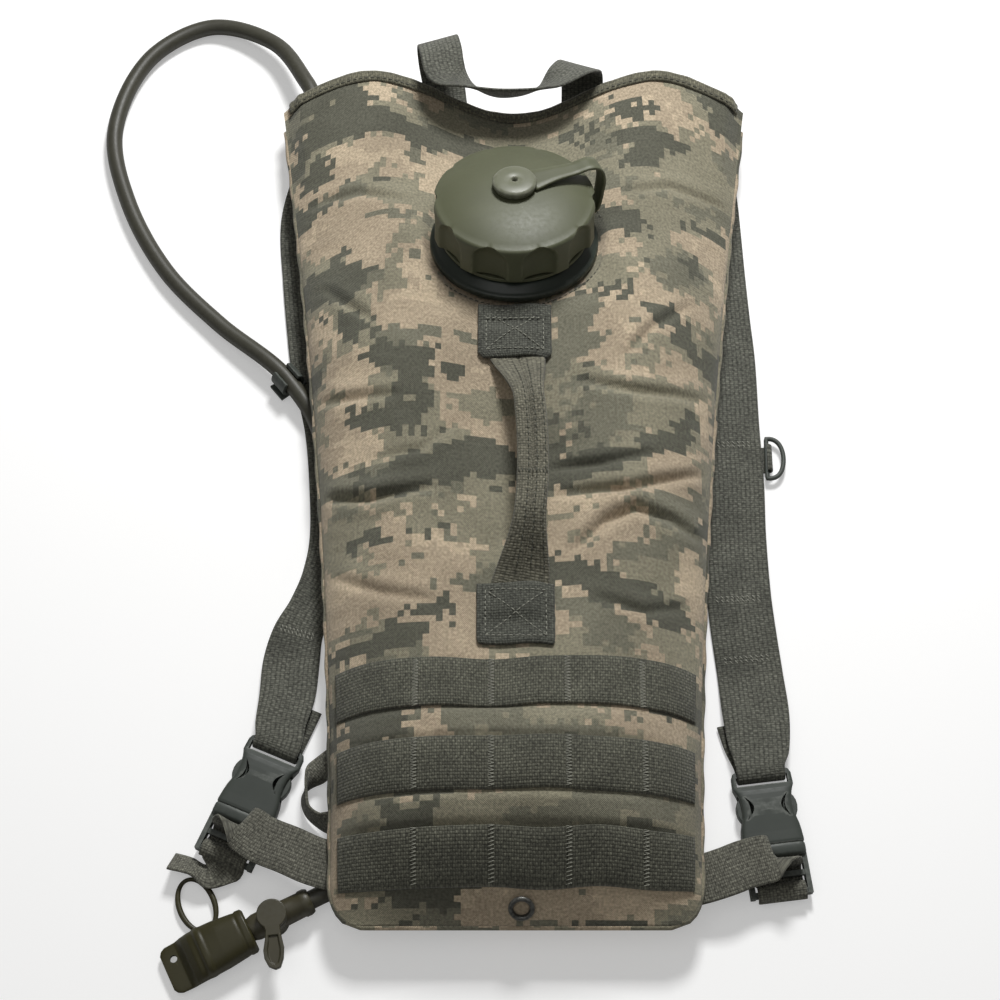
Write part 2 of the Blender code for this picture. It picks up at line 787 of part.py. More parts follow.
# Hang loop: webbing sewn behind the neckline, curling forward over the top edge
flat = (1, 0, 0)
loop_route = [
    (-0.036, Y_NECK - 0.034, seat_under(-0.036, Y_NECK - 0.034, flat, NARROW_WEB)),
    (-0.037, Y_NECK - 0.018, seat_under(-0.037, Y_NECK - 0.018, flat, NARROW_WEB) - GAP),
    (-0.041, Y_NECK + 0.026, 0.0100),
    (-0.0445, Y_NECK + 0.043, 0.0190),
    (-0.0453, Y_NECK + 0.0470, 0.0340),
    (-0.0430, Y_NECK + 0.0340, 0.0440),
    (-0.0390, Y_NECK + 0.0165, 0.0440),
    (-0.0256, Y_NECK + 0.0062, 0.0446),
    (-0.0062, Y_NECK + 0.0014, 0.0446),
    (0.0183, Y_NECK + 0.0058, 0.0446),
    (0.0320, Y_NECK + 0.0185, 0.0438),
    (0.0390, Y_NECK + 0.0290, 0.0340),
    (0.0410, Y_NECK + 0.0340, 0.0200),
    (0.0415, Y_NECK + 0.0260, 0.0100),
    (0.040, Y_NECK - 0.018, seat_under(0.040, Y_NECK - 0.018, flat, NARROW_WEB) - GAP),
    (0.038, Y_NECK - 0.034, seat_under(0.038, Y_NECK - 0.034, flat, NARROW_WEB)),
]
loop_sides = [
    (1, 0, 0),
    (1, 0, 0),
    (1, 0, 0),
    (1, 0.15, 0),
    (0.96, 0.28, 0.05),
    (0.95, 0.30, -0.05),
    (0.90, 0.36, -0.20),
    (0.50, 0.42, -0.75),
    (0, 0.45, -0.90),
    (-0.50, 0.45, -0.74),
    (-0.85, 0.40, -0.30),
    (-0.95, 0.31, 0),
    (-1, 0.15, 0),
    (-1, 0, 0),
    (-1, 0, 0),
    (-1, 0, 0),
]
loop_path = smooth_path(loop_route, 33)
loop_turns = smooth_path(loop_route, 33, loop_sides)
ribbon("hang_loop", loop_path, loop_turns, NARROW_WEB, WEB, WEB_LOOK)

# Buckles: each socket takes a plug with two spring prongs; x runs from the strap's bar to the ladder
SLOT_HALF = NARROW_WEB / 2 + 0.0008
BAR = 0.0032
PLUG_END = SOCKET_LENGTH + 0.026


def buckle_frame(at, turn):
    return Matrix.Translation((at[0], at[1], BUCKLE_LIFT)) @ Matrix.Rotation(turn, 4, "Z")


def socket(name, m):
    w, h, n = BUCKLE_HALF, BUCKLE_THICK, SOCKET_LENGTH
    body = prism(name, rounded(0, n, -w, w, 0.004), 0, h, BUCKLE_LOOK, m)
    cuts = [
        block(BAR, 0.0082, -SLOT_HALF, SLOT_HALF, -0.01, 0.02, m),
        block(-0.01, 0.0082, -w - 0.01, w + 0.01, 0.0072, 0.02, m),
        block(-0.01, 0.0082, -w - 0.01, w + 0.01, -0.01, 0.0034, m),
        block(0.0110, n + 0.01, -0.0122, 0.0122, 0.0019, h - 0.0019, m),
        block(0.0130, 0.0275, 0.0102, w + 0.01, -0.01, 0.02, m),
        block(0.0130, 0.0275, -w - 0.01, -0.0102, -0.01, 0.02, m),
    ]
    return joined(body, cuts, "DIFFERENCE")


def plug(name, m):
    w, h, n = BUCKLE_HALF, BUCKLE_THICK, SOCKET_LENGTH
    body = block(n + GAP, n + 0.0062, -w, w, 0, h, m, name)
    parts = [
        block(n + 0.005, PLUG_END, -w, -SLOT_HALF, 0.0012, 0.0068, m),
        block(n + 0.005, PLUG_END, SLOT_HALF, w, 0.0012, 0.0068, m),
        block(n + 0.0138, n + 0.0166, -SLOT_HALF - 0.001, SLOT_HALF + 0.001, 0.0034, 0.0062, m),
        block(PLUG_END - 0.0030, PLUG_END, -SLOT_HALF - 0.001, SLOT_HALF + 0.001, 0.0034, 0.0062, m),
        block(0.0190, n + 0.001, -0.0028, 0.0028, 0.0030, 0.0070, m),
    ]
    return joined(body, parts, "UNION")


def prong(name, m, side):
    """One spring arm: it bends at its root beside the plug's block, its grip shows in the socket's window."""
    root = Matrix.Translation((SOCKET_LENGTH - 0.0016, side * 0.0098, 0))
    outline = [
        (0.0016, -0.0016),
        (0.0016, 0.0016),
        (-0.0112, 0.0020),
        (-0.0119, 0.0046),
        (-0.0180, 0.0060),
        (-0.0240, 0.0040),
        (-0.0248, 0.0010),
        (-0.0235, -0.0016),
    ]
    outline = [(x, side * y) for x, y in outline]
    return prism(name, outline, 0.0026, BUCKLE_THICK - 0.0026, BUCKLE_LOOK, m @ root)


BUCKLES = {"left": buckle_frame(LEFT_BUCKLE, LEFT_TURN), "right": buckle_frame(RIGHT_BUCKLE, RIGHT_TURN)}
for hand, m in BUCKLES.items():
    socket("socket_" + hand, m)
    plug("plug_" + hand, m)
    prong("prong_outer_" + hand, m, -1 if hand == "left" else 1)
    prong("prong_inner_" + hand, m, 1 if hand == "left" else -1)


# Shoulder straps: sewn under the back panel's top corners, led over the socket's bar and back under it
def shoulder_strap(name, hand, route, fold, under):
    """route holds (out, up, share of the width) places; fold and under hold (x, y, z, width) in the buckle's frame."""
    m = BUCKLES[hand]
    sign = -1 if hand == "left" else 1
    across = m.to_3x3() @ Vector((0, 1, 0))
    path, sides, widths = [], [], []
    top_x, top_y = beside(sign, *route[0][:2])
    for y, drop in ((top_y, GAP), (top_y - 0.022, 3 * GAP)):
        ends = []
        for dx in (-0.5 * STRAP_WIDTH, 0.5 * STRAP_WIDTH):
            u, s = find(top_x + dx, y)
            ends.append(Vector((top_x + dx, y, back(u, s))))
        tilt = ends[1] - ends[0]
        path.append(Vector((top_x, y, seat_under(top_x, y, tilt, tilt.length) - drop)))
        sides.append(tilt)
        widths.append(STRAP_WIDTH)
    run = [Vector((*beside(sign, out, up), 0)) for out, up, share in route[1:]]
    for k, p in enumerate(run):
        along = run[min(k + 1, len(run) - 1)] - run[max(k - 1, 0)]
        over = 0.0018 * math.exp(-(((p.y - RING_AT[1]) / 0.030) ** 4)) if hand == "right" else 0.0
        path.append(Vector((p.x, p.y, WEB / 2 + GAP + over)))
        sides.append(Vector((-along.y, along.x, 0)))
        widths.append(STRAP_WIDTH * route[k + 1][2])
    bend = [(0.0040, 0, 0.0083), (0.0056, 0, 0.0060), (0.0050, 0, 0.0032), (0.0026, 0, 0.0018)]
    for x, y, z, w in fold + [(*p, NARROW_WEB) for p in bend] + under:
        path.append(m @ Vector((x, y, z)))
        sides.append(across)
        widths.append(w)
    turn = sides[len(run) + 1].normalized()
    lead = len(run) + 2
    if turn.dot(across) < 0:
        turn = -turn
    sides[lead] = turn.lerp(across, 0.35)
    sides[lead + 1] = turn.lerp(across, 0.75)
    for k in range(1, len(sides)):
        if sides[k].dot(sides[k - 1]) < 0:
            sides[k] = -sides[k]
    return ribbon(name, path, sides, widths, WEB, WEB_LOOK)


shoulder_strap(
    "shoulder_strap_left",
    "left",
    [
        (-0.0844, 0.9854, 1),
        (-0.0294, 0.8750, 1),
        (-0.0211, 0.7952, 1),
        (-0.0196, 0.7258, 1),
        (-0.0216, 0.6781, 1),
        (-0.0398, 0.5919, 1),
        (-0.0401, 0.5019, 1),
        (-0.0320, 0.4479, 0.98),
        (-0.0072, 0.4063, 0.88),
        (0.0345, 0.3671, 0.70),
        (0.0613, 0.3371, 0.78),
        (0.0753, 0.3052, 0.86),
    ],
    [
        (-0.0266, -0.0079, 0.0040, 0.0295),
        (-0.0110, -0.0040, 0.0068, 0.0265),
        (-0.0035, -0.0010, 0.0086, NARROW_WEB),
        (0.0010, 0, 0.0090, NARROW_WEB),
    ],
    [(-0.0040, 0, 0.0012, NARROW_WEB), (-0.0160, 0, 0.0010, NARROW_WEB), (-0.0250, 0, 0.0010, NARROW_WEB)],
)
shoulder_strap(
    "shoulder_strap_right",
    "right",
    [
        (-0.0822, 0.9771, 1),
        (-0.0491, 0.8938, 1),
        (-0.0210, 0.8008, 1),
        (-0.0024, 0.7396, 1),
        (0.0151, 0.6835, 1),
        (0.0326, 0.5958, 1),
        (0.0423, 0.5521, 1),
        (0.0498, 0.5158, 1),
        (0.0580, 0.4579, 1),
        (0.0716, 0.3852, 1),
        (0.0833, 0.3408, 1),
        (0.0983, 0.2888, 1),
    ],
    [
        (-0.0300, 0.0036, 0.0040, STRAP_WIDTH),
        (-0.0110, 0.0017, 0.0068, 0.0310),
        (-0.0035, 0.0004, 0.0086, 1.05 * NARROW_WEB),
        (0.0010, 0, 0.0090, NARROW_WEB),
    ],
    [(-0.0040, 0, 0.0012, NARROW_WEB), (-0.0160, -0.0012, 0.0010, 0.029), (-0.0280, -0.0020, 0.0010, 0.031)],
)


# Lower straps: from the side seams at the bottom corners into the plug's ladder; the left one ends in a loose tail
def lower_strap(name, hand, lead, dive, tail):
    m = BUCKLES[hand]
    across = m.to_3x3() @ Vector((0, 1, 0))
    n = SOCKET_LENGTH
    path = [Vector(p) for p in lead]
    sides, widths = [], []
    for k in range(len(path)):
        along = path[min(k + 1, len(path) - 1)] - path[max(k - 1, 0)]
        sides.append(Vector((-along.y, along.x, 0)))
        widths.append(NARROW_WEB)
    weave = [
        (n + 0.0108, 0.0070),
        (n + 0.0110, 0.0040),
        (n + 0.0130, 0.0016),
        (n + 0.0165, 0.0014),
        (n + 0.0192, 0.0032),
        (n + 0.0200, 0.0062),
        (n + 0.0225, 0.0082),
        (n + 0.0262, 0.0076),
        (n + 0.0285, 0.0050),
    ]
    turn = across if across.dot(sides[-1]) > 0 else -across
    for (x, y, z), share in dive:
        path.append(m @ Vector((n + x, y, z)))
        sides.append(sides[len(lead) - 1].normalized().lerp(turn, share))
        widths.append(NARROW_WEB)
    for x, z in weave:
        path.append(m @ Vector((x, 0, z)))
        sides.append(turn)
        widths.append(NARROW_WEB)
    last = turn
    for p, d, w in tail:
        path.append(m @ Vector(p))
        d = Vector(d)
        last = d if d.dot(last) > 0 else -d
        sides.append(last)
        widths.append(w)
    return ribbon(name, path, sides, widths, THIN_WEB, WEB_LOOK)


def seam_start(x, y):
    lean = 0.22 if x < 0 else -0.22
    return (x, y, seat_under(x, y, (lean, 1, 0), NARROW_WEB) - GAP)


lower_strap(
    "lower_strap_left",
    "left",
    [
        seam_start(*beside(-1, -0.0147, 0.0650)),
        (*beside(-1, 0.0353, 0.0710), 0.0180),
        (*beside(-1, 0.0787, 0.0820), 0.0180),
        (*beside(-1, 0.1294, 0.0948), 0.0158),
    ],
    [((0.0085, 0.003, 0.0140), 0.55), ((0.0100, 0.000, 0.0112), 0.9)],
    [
        ((PLUG_END + 0.0096, -0.0040, 0.0036), (0.55, -0.75, 0.2), 0.016),
        ((PLUG_END + 0.0094, -0.0138, 0.0050), (0.2, -0.75, 0.6), 0.0145),
        ((PLUG_END + 0.0108, -0.0236, 0.0050), (0.05, -0.75, 0.65), 0.0145),
    ],
)
lower_strap(
    "lower_strap_right",
    "right",
    [
        seam_start(*beside(1, -0.0232, 0.0500)),
        (*beside(1, 0.0134, 0.0542), 0.0150),
        (*beside(1, 0.0499, 0.0604), 0.0165),
        (*beside(1, 0.0863, 0.0688), 0.0155),
    ],
    [((0.0085, -0.002, 0.0145), 0.55), ((0.0100, 0.000, 0.0112), 0.9)],
    [],
)

# Loose webbing loop sewn behind the left edge, beside the socket
side_high = beside(-1, -0.0343, 0.1896)
side_low = beside(-1, -0.0283, 0.1125)
side_route = [
    (*side_high, seat_under(*side_high, (0.3, 1, 0), SIDE_LOOP_WIDTH)),
    (*beside(-1, -0.0064, 0.1854), 0.0120),
    (*beside(-1, 0.0279, 0.1719), 0.0085),
    (*beside(-1, 0.0516, 0.1521), 0.0075),
    (*beside(-1, 0.0476, 0.1313), 0.0075),
    (*beside(-1, 0.0210, 0.1177), 0.0085),
    (*beside(-1, -0.0026, 0.1135), 0.0120),
    (*side_low, seat_under(*side_low, (0, 1, 0), SIDE_LOOP_WIDTH)),
]
side_turn = [
    (0.3, 1, 0),
    (0.4, 1, 0.2),
    (0.5, 0.6, 0.9),
    (0.3, 0.1, 1),
    (0.1, 0.1, 1),
    (-0.2, 0.3, 1),
    (-0.2, 0.8, 0.4),
    (0.0, 1, 0),
]
side_path = smooth_path(side_route, 17)
side_turns = smooth_path(side_route, 17, side_turn)
ribbon("side_loop_left", side_path, side_turns, SIDE_LOOP_WIDTH, THIN_WEB, WEB_LOOK)

# D-ring beside the right strap, swinging in a folded keeper sewn under the strap's edge
keeper_r = RING_ROD / 2 * 1.42 + GAP + 0.0005
ring_z = keeper_r + 0.0009
RING = Matrix.Translation((RING_AT[0], RING_AT[1], ring_z)) @ Matrix.Rotation(math.radians(-1), 4, "Z")
half_rod = RING_ROD / 2
half_len = RING_LENGTH / 2


def bow(reach, length):
    """Half oval from the straight bar outward."""
    out = []
    for k in range(9):
        t = math.pi * (k / 8 - 0.5)
        out.append((reach * math.cos(t) ** 0.7 if 0 < k < 8 else 0.0, length * math.sin(t)))
    return out


ring = prism(
    "d_ring",
    [(-half_rod, half_len), (-half_rod, -half_len)] + bow(RING_REACH, half_len),
    -half_rod,
    half_rod,
    BUCKLE_LOOK,
    RING,
)
eye = prism(
    "cutter",
    [(half_rod + x, y) for x, y in bow(RING_REACH - RING_ROD - half_rod, half_len - RING_ROD)],
    -0.01,
    0.01,
    BUCKLE_LOOK,
    RING,
)
joined(ring, [eye], "DIFFERENCE")
keeper_path, keeper_sides = [], []
for x, z in (
    [(-0.016, 0.0007), (-0.009, 0.0007), (-0.004, 0.0)]
    + [(keeper_r * math.sin(math.radians(a)), -keeper_r * math.cos(math.radians(a))) for a in range(0, 181, 30)]
):
    keeper_path.append(RING @ Vector((x, 0, z if z != 0.0 else -keeper_r)))
    keeper_sides.append((0, 1, 0))
keeper_path[0].z = 0.0008
keeper_path[1].z = 0.0008

# Hose: the inner stretch runs over the bag to the corner of the mouth, the free one round to the valve
EXIT_U = -0.86
exit_x, exit_y = plan(EXIT_U, 1.0)
exit_z = (front(EXIT_U, 1.0) - CLOTH + back(EXIT_U, 1.0) + CLOTH) / 2


def hose_height(u, s):
    return foam_under(u, s) - GAP - HOSE_ROOM / 2


OUTLET_U, OUTLET_S = -0.22, 0.165
ox, oy = plan(OUTLET_U, OUTLET_S)
bpy.context.view_layer.update()
bag_tree = BVHTree.FromObject(bag, bpy.context.evaluated_depsgraph_get())
oz = max(
    bag_tree.ray_cast(Vector((ox + r * math.cos(t), oy + r * math.sin(t), 0.5)), Vector((0, 0, -1)))[0].z
    for r in (0.0, 0.0065, 0.013)
    for t in range(8)
)
inner_route = []
for u, s in ((-0.22, 0.20), (-0.235, 0.30), (-0.36, 0.48), (-0.50, 0.62), (-0.60, 0.73), (-0.67, 0.81), (-0.74, 0.88)):
    x, y = plan(u, s)
    inner_route.append((x, y, hose_height(u, s)))
for u, s in ((-0.79, 0.925), (-0.84, 0.965)):
    x, y = plan(u, s)
    z = (front(u, s) + back(u, s)) / 2
    inner_route.append((x, y, z))
inner_route.append((exit_x + 0.0015, exit_y - 0.006, exit_z))
start_in = Vector(inner_route[0])
start_in.z = max(start_in.z, oz + 0.0052)
inner_route[0] = tuple(start_in)
tube("hose_inside", smooth_path(inner_route, 22), HOSE, RUBBER_LOOK)

outlet = turned(
    "outlet_elbow",
    [(0.0, 0.0006), (0.013, 0.0006), (0.013, 0.0020), (0.0, 0.0024)],
    16,
    CAP_LOOK,
    Matrix.Translation((ox, oy, oz)),
)
lie_y = Matrix.Rotation(math.radians(-90), 4, "X")
reach = start_in.y - oy - 3 * GAP
stub_top = start_in.z - oz
stub = turned(
    "cutter",
    [(0.0, 0.001), (0.0052, 0.001), (0.0052, stub_top + 0.003), (0.003, stub_top + 0.0045), (0.0, stub_top + 0.0045)],
    14,
    CAP_LOOK,
    Matrix.Translation((ox, oy, oz)),
)
barb = turned(
    "cutter",
    [(0.0, 0.0), (0.0043, 0.0), (0.0043, reach), (0.0, reach)],
    12,
    CAP_LOOK,
    Matrix.Translation((start_in.x, oy, start_in.z)) @ lie_y,
)
joined(outlet, [stub, barb], "UNION")

# Valve on the free end of the hose; a runs along the mouthpiece
VALVE = Matrix.Translation((*VALVE_AT, VALVE_RADIUS - GAP)) @ Matrix.Rotation(VALVE_TURN, 4, "Z")
LIE = Matrix.Rotation(math.radians(90), 4, "Y")
BODY_BACK = -0.0205
BODY_FRONT = 0.0125
valve = turned(
    "valve_body",
    [
        (0.0, -0.0075),
        (VALVE_RADIUS - 0.001, -0.0075),
        (VALVE_RADIUS - 0.001, 0.0070),
        (VALVE_RADIUS - 0.002, 0.0080),
        (0.0, 0.0080),
    ],
    20,
    RUBBER_LOOK,
    VALVE,
)
barrel = turned(
    "cutter",
    [
        (0.0, BODY_BACK),
        (0.0062, BODY_BACK),
        (0.0069, BODY_BACK + 0.002),
        (0.0067, BODY_FRONT - 0.003),
        (0.0058, BODY_FRONT),
        (0.0, BODY_FRONT),
    ],
    20,
    RUBBER_LOOK,
    VALVE @ LIE,
)
joined(valve, [barrel], "UNION")
lever_low = 0.0083
lever_outline = [(0.0075 * math.cos(math.radians(a)), 0.0075 * math.sin(math.radians(a))) for a in range(-60, 241, 25)]
lever_outline += [(-0.0032, -0.0090), (-0.0054, 0.0095 - LEVER_ARM), (-0.0030, 0.0020 - LEVER_ARM)]
lever_outline += [(0.0014, -LEVER_ARM), (0.0044, 0.0060 - LEVER_ARM), (0.0048, 0.0120 - LEVER_ARM), (0.0034, -0.0090)]
LEVER = VALVE @ Matrix.Rotation(LEVER_TURN, 4, "Z")
prism("shutoff_lever", lever_outline, lever_low, lever_low + 0.0028, RUBBER_LOOK, LEVER)
bite_start = BODY_FRONT + GAP
turned(
    "bite_valve",
    [
        (0.0, bite_start),
        (0.0058, bite_start),
        (0.0062, bite_start + 0.008),
        (0.0050, bite_start + 0.020),
        (0.0040, bite_start + 0.026),
        (0.0, bite_start + 0.027),
    ],
    16,
    ((0.30, 0.31, 0.30), 0.4),
    VALVE @ LIE,
)
COVER_START = 0.0125
COVER_END = COVER_START + 0.030
shell = [
    (COVER_START, 0.0113, 0.0078),
    (COVER_START + 0.006, 0.0116, 0.0080),
    (COVER_START + 0.016, 0.0126, 0.0080),
    (COVER_START + 0.0245, 0.0130, 0.0072),
    (COVER_END, 0.0130, 0.0062),
    (COVER_END + 0.0035, 0.0128, 0.0040),
    (COVER_END + 0.0070, 0.0126, 0.0016),
    (COVER_START + COVER_LENGTH - 0.0035, 0.0124, 0.0014),
    (COVER_START + COVER_LENGTH, 0.0092, 0.0012),
]
verts, faces = [], []
around = 16
for a, w, h in shell:
    sink = min(0.0, h - VALVE_RADIUS + 0.0009) * 0.75
    for k in range(around):
        t = 2 * math.pi * k / around
        y = w * math.copysign(abs(math.cos(t)) ** 0.75, math.cos(t))
        z = h * math.copysign(abs(math.sin(t)) ** 0.75, math.sin(t))
        verts.append(Vector((a, y, z + sink)))
for j in range(len(shell) - 1):
    for k in range(around):
        m = (k + 1) % around
        faces.append((j * around + k, j * around + m, (j + 1) * around + m, (j + 1) * around + k))
faces.append(tuple(range(around)))
faces.append(tuple(range((len(shell) - 1) * around, len(shell) * around)))
cover = place("valve_cover", verts, faces, RUBBER_LOOK, VALVE)
hollow = turned(
    "cutter",
    [
        (0.0, COVER_START - 0.003),
        (0.0070, COVER_START - 0.003),
        (0.0070, COVER_START + 0.014),
        (0.0056, COVER_START + 0.024),
        (0.0044, COVER_END - 0.0015),
        (0.0, COVER_END - 0.0015),
    ],
    20,
    RUBBER_LOOK,
    VALVE @ LIE,
)
pull_hole = turned(
    "cutter",
    [(0.0, -0.02), (0.0019, -0.02), (0.0019, 0.02), (0.0, 0.02)],
    12,
    RUBBER_LOOK,
    VALVE @ Matrix.Translation((COVER_END + 0.0100, -0.005, 0)),
)
joined(cover, [hollow, pull_hole], "DIFFERENCE")
loop_low = -VALVE_RADIUS + 2 * GAP


def oval(cx, cy, rx, ry, tilt, count):
    out = []
    for k in range(count):
        t = 2 * math.pi * k / count
        x, y = rx * math.cos(t), ry * math.sin(t)
        out.append((cx + x * math.cos(tilt) - y * math.sin(tilt), cy + x * math.sin(tilt) + y * math.cos(tilt)))
    return out


LOOP_AT = (COVER_START + 0.019, -0.0254)
loop_high = loop_low + 0.0030
finger = prism("cutter", oval(*LOOP_AT, 0.0154, 0.0100, 1.55, 24), loop_low, loop_high, RUBBER_LOOK, VALVE)
inside = prism("cutter2", oval(*LOOP_AT, 0.0126, 0.0074, 1.55, 24), loop_low - 0.01, loop_high + 0.01, RUBBER_LOOK, VALVE)
joined(finger, [inside], "DIFFERENCE")
joined(cover, [finger], "UNION")

# Free hose: from the mouth's corner, round in a wide bow, through the clip, under the pack to the valve
CLIP_WALL = 0.0022
clip_base = WEB + 2 * GAP
clip_z = clip_base + CLIP_WALL + GAP + HOSE / 2
lie_z = HOSE / 2 + 0.0004
on_strap = WEB + 3 * GAP + HOSE / 2
hose_end = VALVE @ Vector((BODY_BACK - 2.5 * GAP, 0, 0))
hose_near = VALVE @ Vector((BODY_BACK - 0.009, 0, -0.0002))
hose_far = VALVE @ Vector((BODY_BACK - 0.018, 0, -0.0034))
hose_route = [
    (exit_x - 0.0003, exit_y - 0.0052, exit_z),
    (exit_x - 0.006, exit_y + 0.010, exit_z - 0.001),
    (*beside(-1, 0.0368, 1.1323), 0.0110),
    (*beside(-1, 0.1838, 1.1656), lie_z),
    (*beside(-1, 0.3162, 1.1146), lie_z),
    (*beside(-1, 0.3768, 1.0073), lie_z),
    (*beside(-1, 0.3612, 0.9042), lie_z),
    (*beside(-1, 0.2915, 0.8042), lie_z),
    (*beside(-1, 0.1838, 0.7271), lie_z + 0.001),
    (CLIP_AT[0] - 0.010, CLIP_AT[1] + 0.0105, clip_z),
    (CLIP_AT[0] + 0.002, CLIP_AT[1] - 0.0025, clip_z),
    (*beside(-1, 0.0006, 0.5979), on_strap),
    (*beside(-1, -0.0257, 0.5208), on_strap),
    (*beside(-1, -0.0305, 0.4271), on_strap),
    (*beside(-1, -0.0374, 0.3604), on_strap),
    (*beside(-1, -0.0426, 0.3104), lie_z + 0.0006),
    (*beside(-1, -0.0518, 0.2188), lie_z),
    (*beside(-1, -0.0475, 0.1250), lie_z),
    (*beside(-1, -0.0407, 0.0719), lie_z),
    tuple(hose_far),
    tuple(hose_near),
    tuple(hose_end),
]
tube("drink_hose", smooth_path(hose_route, 60), HOSE, RUBBER_LOOK)

# Clip that snaps round the hose, its foot sewn on the left strap
near = sorted(smooth_path(hose_route, 400), key=lambda p: (p - Vector((*CLIP_AT, clip_z))).length)
clip_mid = near[0]
stretch = sorted(near[:7], key=lambda p: p.y)
heading = stretch[0] - stretch[-1]
turn = math.atan2(heading.y, heading.x)
CLIP = Matrix.Translation((clip_mid.x, clip_mid.y, clip_mid.z)) @ Matrix.Rotation(turn - math.pi / 2, 4, "Z")
CLIP = CLIP @ Matrix.Rotation(math.radians(90), 4, "X")
bore = HOSE / 2 + 2 * GAP
rim = bore + CLIP_WALL
foot = clip_mid.z - clip_base
outline = [(-0.0090, -foot), (0.0090, -foot), (0.0090, -foot + 0.0022)]
for a in range(-55, 56, 22):
    outline.append((rim * math.cos(math.radians(a)), rim * math.sin(math.radians(a))))
for a in range(55, -236, -29):
    outline.append((bore * math.cos(math.radians(a)), bore * math.sin(math.radians(a))))
for a in range(125, 236, 22):
    outline.append((rim * math.cos(math.radians(a)), rim * math.sin(math.radians(a))))
outline.append((-0.0090, -foot + 0.0022))
prism("hose_clip", outline, -0.0055, 0.0055, BUCKLE_LOOK, CLIP)
ribbon("ring_keeper", keeper_path, keeper_sides, KEEPER_WIDTH, KEEPER_THICK, WEB_LOOK)
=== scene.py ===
"""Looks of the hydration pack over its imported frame.

Cloth, webbing, moulded parts and hose, lying on a pale table.
"""

import math

import bmesh
import bpy
import numpy as np
from mathutils import Matrix, Vector


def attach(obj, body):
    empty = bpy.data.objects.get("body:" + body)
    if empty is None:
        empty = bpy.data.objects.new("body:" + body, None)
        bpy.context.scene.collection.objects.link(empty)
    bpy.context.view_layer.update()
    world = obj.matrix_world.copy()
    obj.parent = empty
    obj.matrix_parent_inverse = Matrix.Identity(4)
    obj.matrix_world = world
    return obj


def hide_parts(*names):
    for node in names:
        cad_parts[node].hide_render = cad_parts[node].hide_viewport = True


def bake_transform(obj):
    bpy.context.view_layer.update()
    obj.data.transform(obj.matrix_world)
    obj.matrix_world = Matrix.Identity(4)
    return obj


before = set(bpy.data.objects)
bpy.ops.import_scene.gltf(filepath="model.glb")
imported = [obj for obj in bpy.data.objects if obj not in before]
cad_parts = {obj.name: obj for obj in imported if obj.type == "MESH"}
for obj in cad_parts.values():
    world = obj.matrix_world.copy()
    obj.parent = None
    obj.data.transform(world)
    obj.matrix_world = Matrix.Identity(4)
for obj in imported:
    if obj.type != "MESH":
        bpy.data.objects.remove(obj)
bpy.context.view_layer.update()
scene = bpy.context.scene

# View: a plain photograph from above the pack's lower end.
# The lens is long and leans 25 degrees off the vertical.
LEAN = math.radians(25)
AIM = Vector((-0.008, -0.023, 0.020))
lens = bpy.data.cameras.new("view")
lens.sensor_width = 36.0
lens.lens = 73.26
view = bpy.data.objects.new("view", lens)
view.location = AIM + 1.10 * Vector((0, -math.sin(LEAN), math.cos(LEAN)))
view.rotation_euler = (LEAN, 0, 0)
scene.collection.objects.link(view)
scene.camera = view


def show(name, data):
    """Put a mesh, curve or lamp into the scene under a name."""
    obj = bpy.data.objects.new(name, data)
    scene.collection.objects.link(obj)
    return obj


def add(tree, kind, inputs=None, **settings):
    """Add a node to a material; each input is a number, a colour or another node's output."""
    made = tree.nodes.new(kind)
    for key, value in settings.items():
        setattr(made, key, value)
    for key, value in (inputs or {}).items():
        if isinstance(value, bpy.types.NodeSocket):
            tree.links.new(value, made.inputs[key])
        else:
            made.inputs[key].default_value = value
    return made


def calc(tree, operation, a, b=0.0):
    return add(tree, "ShaderNodeMath", {0: a, 1: b}, operation=operation).outputs[0]


def mixed(tree, share, a, b, blend="MIX"):
    """Blend two colours by a share."""
    made = add(tree, "ShaderNodeMix", {0: share, 6: a, 7: b}, data_type="RGBA", blend_type=blend)
    return made.outputs[2]


def blank(name):
    """A fresh material with its tree and its shader."""
    look = bpy.data.materials.new(name)
    look.use_nodes = True
    return look, look.node_tree, look.node_tree.nodes["Principled BSDF"]


def spread(tree, value, low, high, to_low, to_high):
    """Stretch a value from one range to another, held at the ends."""
    made = add(tree, "ShaderNodeMapRange", {0: value, 1: low, 2: high, 3: to_low, 4: to_high})
    return made.outputs[0]


# Table: a pale matt top under the pack, bright where the lens sees it.
# It reads as white there and keeps the pack's shadow.
floor_mesh = bpy.data.meshes.new("table")
floor_mesh.from_pydata([(-2, -2, 0), (2, -2, 0), (2, 2, 0), (-2, 2, 0)], [], [(0, 1, 2, 3)])
table = show("table", floor_mesh)
table.location.z = -0.0007
look, tree, shader = blank("table_white")
grain = add(tree, "ShaderNodeTexNoise", {"Scale": 6.0, "Detail": 3.0}).outputs["Fac"]
white = mixed(tree, grain, (0.74, 0.74, 0.735, 1), (0.78, 0.78, 0.775, 1))
tree.links.new(white, shader.inputs["Base Color"])
shader.inputs["Roughness"].default_value = 0.9
rays = add(tree, "ShaderNodeLightPath").outputs
seen = calc(tree, "MAXIMUM", rays["Is Camera Ray"], rays["Is Transmission Ray"])
shader.inputs["Emission Color"].default_value = (1, 1, 1, 1)
tree.links.new(calc(tree, "MULTIPLY", seen, 0.34), shader.inputs["Emission Strength"])
floor_mesh.materials.append(look)


# Light: one soft box beyond the pack's top end and a weak overhead fill.
# The pale room around them lifts the shadows.
def soft_box(name, at, size, power):
    data = bpy.data.lights.new(name, "AREA")
    data.size = size
    data.energy = power
    obj = show(name, data)
    obj.location = at
    obj.rotation_euler = (AIM - Vector(at)).to_track_quat("-Z", "Y").to_euler()


